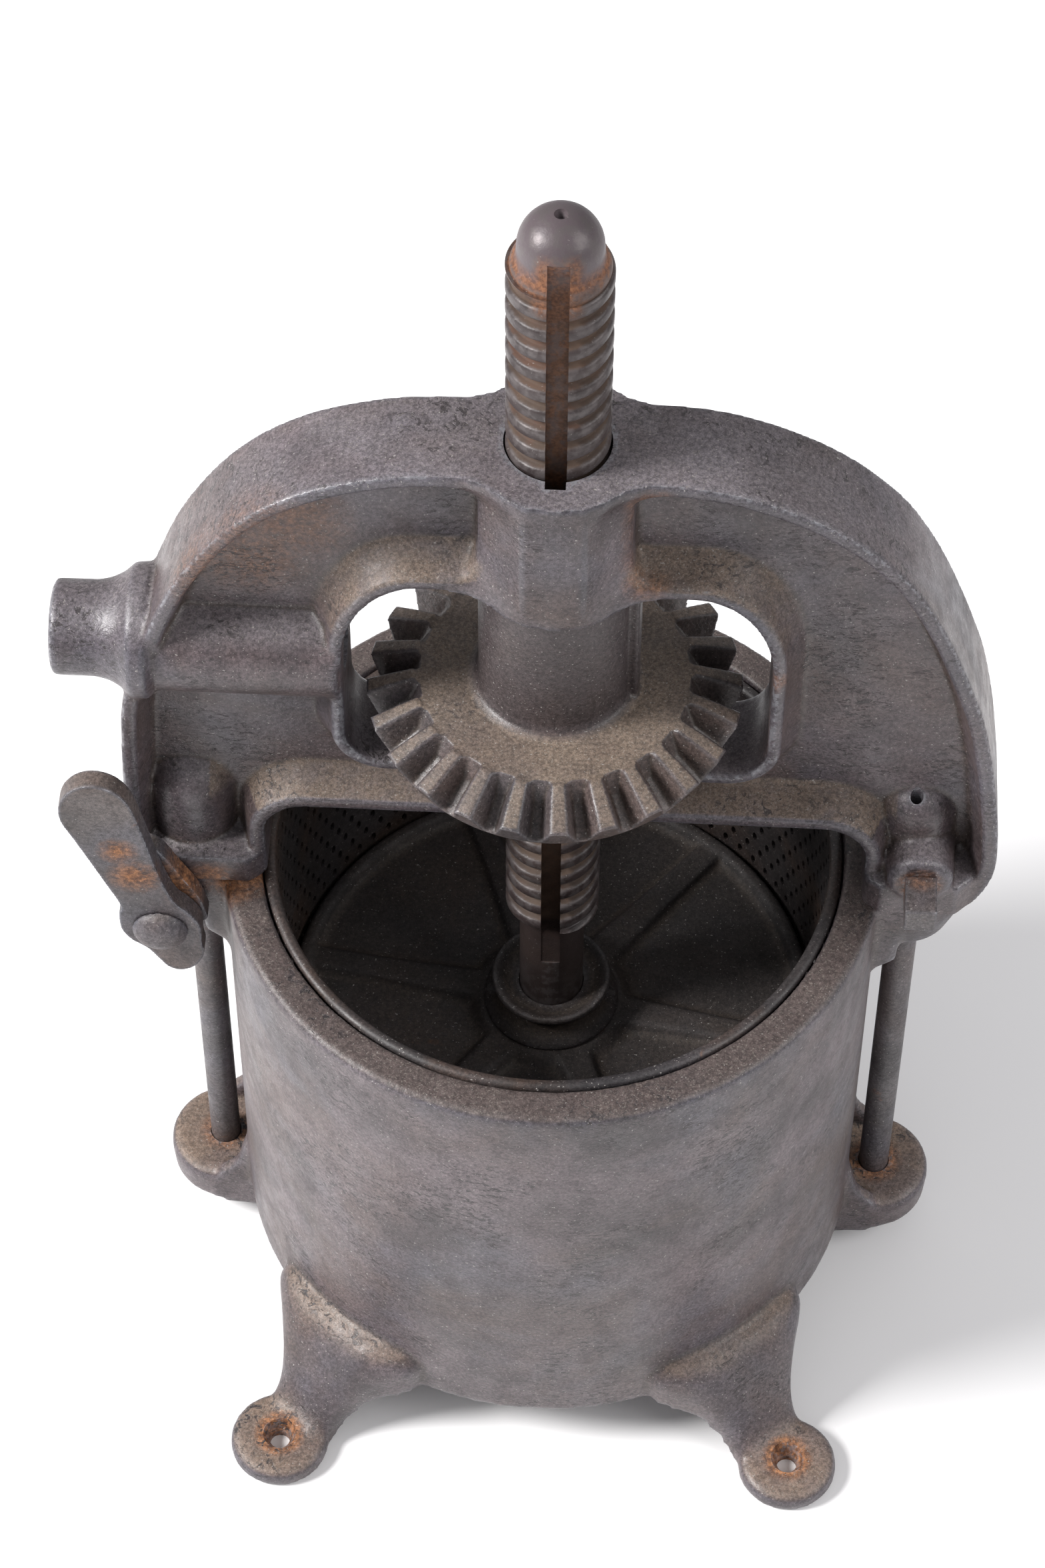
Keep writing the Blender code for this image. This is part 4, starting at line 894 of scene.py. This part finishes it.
for key in [k for k in index if k[0] == 0 and k[1] == "hole"]:
    after = key[:4] + ((key[4] + 1) % 8,)
    faces.append((index[key], index[after], index[(1,) + after[1:]], index[(1,) + key[1:]]))
for r in (0, len(levels) - 1):
    for c in range(COLS * 2):
        after = (c + 1) % (COLS * 2)
        faces.append((index[(0, r, c)], index[(0, r, after)], index[(1, r, after)], index[(1, r, c)]))
strainer = mesh_object("strainer", verts, faces)
finish(strainer, "strainer_surface", "frame", "strainer_sleeve", TIN)

ring = lathe(arc(84.35, H - 2.2, 1.9, 0, 336, 14), 240)
finish(ring, "rolled_edge_surface", "frame", "strainer_rolled_edge", TIN)

# ------------------------------------------------------------------ rods, nuts and other turned pieces
WASHER = [(5.1, 10.5), (5.1, 12.0), (5.2, 12.1), (8.7, 12.1), (8.9, 11.9), (8.9, 10.6),
          (8.7, 10.4), (5.2, 10.4)]
NUT = [(0, 3.2), (7.9, 3.2), (8.7, 4.0), (8.7, 9.3), (7.9, 10.1), (0, 10.1)]
for side, sx, top in (("left", -1, 25.0), ("right", 1, 32.4)):
    place = (sx * ROD_X, 0, 0)
    profile = [(0, 0.9), (3.8, 0.9), (ROD_R, 1.9), (ROD_R, H + top - 1), (3.8, H + top), (0, H + top)]
    rod = lathe(profile, 48, at=place)
    if side == "right":
        cut(rod, drill(4.5, -12, -3.8, 32, "Y", (SET_X, 0, SET_Z)))
    finish(rod, "rod_surface_" + side, "frame", "tie_rod_" + side, STEEL_ROD)
    washer = lathe(WASHER, 64, at=place)
    finish(washer, "rod_washer_surface_" + side, "frame", "rod_washer_" + side, STEEL_ROD)
    nut = lathe(NUT, 6, at=place)
    cut(nut, drill(ROD_NUT_HOLE_R, 0, 15, 48, at=place))
    cast(nut, 0.3, 2, 0.03)
    finish(nut, "rod_nut_surface_" + side, "frame", "rod_nut_" + side, STEEL_ROD)

HEAD_HALF = 4.6  # half the width of the set screw's square head
SHANK = [(0, -22.0), (4.0, -22.0), (4.0, -4.6), (3.4, -4.1), (0, -4.1)]
corners = ((-1, -1), (1, -1), (1, 1), (-1, 1))
set_screw = lathe(SHANK, 64, "Y", (SET_X, 0, SET_Z))
heap(set_screw, prism([(SET_X + a * HEAD_HALF, SET_Z + b * HEAD_HALF) for a, b in corners], -33.9, -21.0))
cast(set_screw, 0.35, 3, 0.08)
rust_near(set_screw, [(SET_X, -22, SET_Z, 2, 7)])
finish(set_screw, "set_screw_surface", "frame", "square_set_screw", STEEL_ROD)

PIN = [(0, -16.6), (1.6, -16.6), (1.9, -16.45), (2.0, -16.2), (2.0, 16.2), (1.9, 16.45),
       (1.6, 16.6), (0, 16.6)]
pin = lathe(PIN, 40, "X", (0, 0, PIN_Z))
finish(pin, "cross_pin_surface", "ram", "hub_cross_pin", STEEL_ROD)
washer = lathe([
    (6.6, PLATE_LOW - 2.0), (6.6, PLATE_LOW - 0.4), (12.8, PLATE_LOW - 0.4),
    (13, PLATE_LOW - 0.6), (13, PLATE_LOW - 1.9), (12.8, PLATE_LOW - 2.1)], 72)
finish(washer, "plate_washer_surface", "ram", "plate_washer", STEEL_ROD)
nut = lathe([
    (0, PLATE_LOW - 8.4), (10.6, PLATE_LOW - 8.4), (11.4, PLATE_LOW - 7.6),
    (11.4, PLATE_LOW - 3.2), (10.6, PLATE_LOW - 2.4), (0, PLATE_LOW - 2.4)], 6)
cut(nut, drill(PLATE_HOLE_R, PLATE_LOW - 20, PLATE_LOW + 5, 48))
cast(nut, 0.3, 2, 0.03)
finish(nut, "plate_nut_surface", "ram", "plate_nut", STEEL_ROD)
thrust = lathe([
    (15.1, G - 23.9), (15.1, G - 22.0), (15.2, G - 21.9), (20.0, G - 21.9),
    (20.2, G - 22.1), (20.2, G - 23.8), (20.0, G - 24.0), (15.2, G - 24.0)], 96)
finish(thrust, "thrust_washer_surface", "frame", "thrust_washer", STEEL_ROD)
key = block(-2.5, 2.5, -16.6, -9.9, H + 137, H + 163)
cast(key, 0.3, 2, 0.03)
finish(key, "key_surface", "frame", "head_key", STEEL_ROD)

# ------------------------------------------------------------------ clamp on the left foot
def bar(points, y0, y1):
    """A flat forging. Its points are (x, z) from the lever's pivot."""
    obj = prism([(PIVOT_X + x, PIVOT_Z + z) for x, z in points], y0, y1)
    return cast(obj, 0.45, 5, 0.16, edges=False)


CLAMP = [
    (-9.2, 5.3), (-10.6, 0), (-9.2, -5.3), (-5.3, -9.2), (0, -10.6), (5.3, -9.2), (8.7, -6.1), (13.0, -4),
    (12.6, 1.0), (11.0, 7.5), (6.6, 17), (1.0, 28.6), (-3.5, 30.4), (-8.6, 25), (-10.8, 11)]
clamp = bar(curve(CLAMP, 5, True), -24.6, -18.9)
cut(clamp, drill(RIVET_HOLE_R, -30, -10, 32, "Y", (PIVOT_X, 0, PIVOT_Z)))
mark_edges(clamp, 6, 0.25)
rust_near(clamp, [(PIVOT_X + 5, -22, PIVOT_Z + 14, 3, 14)])
finish(clamp, "clamp_block_surface", "frame", "clamp_block", IRON_CLAMP)

LEVER = [
    (11.9, -6), (11.9, 1.5), (8.8, 8.2), (4.8, 13.6), (1.3, 26.1), (-1.9, 44), (-4.3, 56.6), (-6.4, 62.4),
    (-10.0, 66.8), (-15.1, 68.7), (-20.0, 67.2), (-24.0, 62.6), (-25.9, 56.5), (-25.4, 50.2), (-22.4, 42.4),
    (-15.6, 23.5), (-11.2, 10.8), (-12.0, 5.2), (-11.6, -1.6), (-9.0, -6.6), (-4.6, -10.6), (-1.6, -15.6),
    (1.0, -19.8), (4.4, -21.4), (8.2, -20.0), (11.0, -16.4), (12.4, -11.4)]
lever = bar(curve(LEVER, 5, True), -31.2, -24.9)
cut(lever, drill(RIVET_HOLE_R, -40, -10, 32, "Y", (PIVOT_X, 0, PIVOT_Z)))
mark_edges(lever, 6, 0.25)
rust_near(lever, [(PIVOT_X - 6, -31, PIVOT_Z + 26, 2, 9), (PIVOT_X - 10, -31, PIVOT_Z + 38, 1, 7)])
finish(lever, "clamp_lever_surface", "lever", "clamp_lever", IRON_CLAMP)

RIVET = [(0, -36.2), (1.6, -36.1), (3.2, -35.8), (4.7, -35.3), (6.0, -34.6), (7.1, -33.8), (7.9, -32.8),
         (8.3, -31.9), (8.2, -31.5), (3.0, -31.5), (3.0, -9.0), (2.4, -8.4), (0, -8.4)]
rivet = lathe(RIVET, 72, "Y", (PIVOT_X, 0, PIVOT_Z))
cast(rivet, 0.45, 3, 0.05)
finish(rivet, "clamp_rivet_surface", "frame", "clamp_rivet", IRON_CLAMP)

# ------------------------------------------------------------------ floor, light and camera
bpy.ops.mesh.primitive_plane_add(size=8)
floor = bpy.context.object
floor.name = "floor"
n = Nodes("pale_floor")
pale = n.mix(n.step(n.noise(3, 4), 0.3, 0.7), (0.93, 0.93, 0.935), (0.96, 0.96, 0.96))
floor.data.materials.append(n.done(pale, 0.6, 0.0, None, 0.2))
floor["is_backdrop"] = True

SKY, SKY_STRENGTH = (0.97, 0.97, 1.0, 1), 0.40
LAMP_AIM = Vector((0, 0, 0.2))  # what the lamps point at, in metres
world = bpy.data.worlds.new("studio")
bpy.context.scene.world = world
world.use_nodes = True
world.node_tree.nodes["Background"].inputs[0].default_value = SKY
world.node_tree.nodes["Background"].inputs[1].default_value = SKY_STRENGTH


def area(name, place, size, power, colour):
    """A round lamp that points at the press."""
    light = bpy.data.lights.new(name, "AREA")
    light.shape, light.size, light.energy, light.color = "DISK", size, power, colour
    obj = bpy.data.objects.new(name, light)
    bpy.context.scene.collection.objects.link(obj)
    obj.location = place
    obj.rotation_euler = (Vector(place) - LAMP_AIM).to_track_quat("Z", "Y").to_euler()


area("key", (-1.75, -0.42, 1.6), 0.8, 86, (1, 0.985, 0.98))
area("fill", (1.6, -0.5, 1.4), 1.4, 22, (1, 0.98, 0.98))

# The camera stands where the photo's stood. Its place is from the screw axis at the rim plane
CAMERA_X, CAMERA_Y, CAMERA_Z = 29.53, -768.03, 1055.44
YAW, PITCH_DOWN, ROLL = math.radians(2.883), math.radians(53.15), math.radians(-0.2)
forward = Vector((-math.sin(YAW) * math.cos(PITCH_DOWN), math.cos(YAW) * math.cos(PITCH_DOWN),
                  -math.sin(PITCH_DOWN)))
right = Vector((math.cos(YAW), math.sin(YAW), 0))
up = right.cross(forward)
turn = Matrix.Rotation(ROLL, 3, forward)
lens = bpy.data.cameras.new("view")
lens.lens, lens.sensor_width = 100.65, 36
lens.clip_start, lens.clip_end = 0.05, 50
camera = bpy.data.objects.new("view", lens)
bpy.context.scene.collection.objects.link(camera)
camera.location = ((XC + CAMERA_X) * MM, CAMERA_Y * MM, (H + CAMERA_Z) * MM)
camera.rotation_euler = Matrix((turn @ right, turn @ up, -(turn @ forward))).transposed().to_euler()
bpy.context.scene.camera = camera
bpy.context.scene.view_settings.view_transform = "Standard"

low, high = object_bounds()
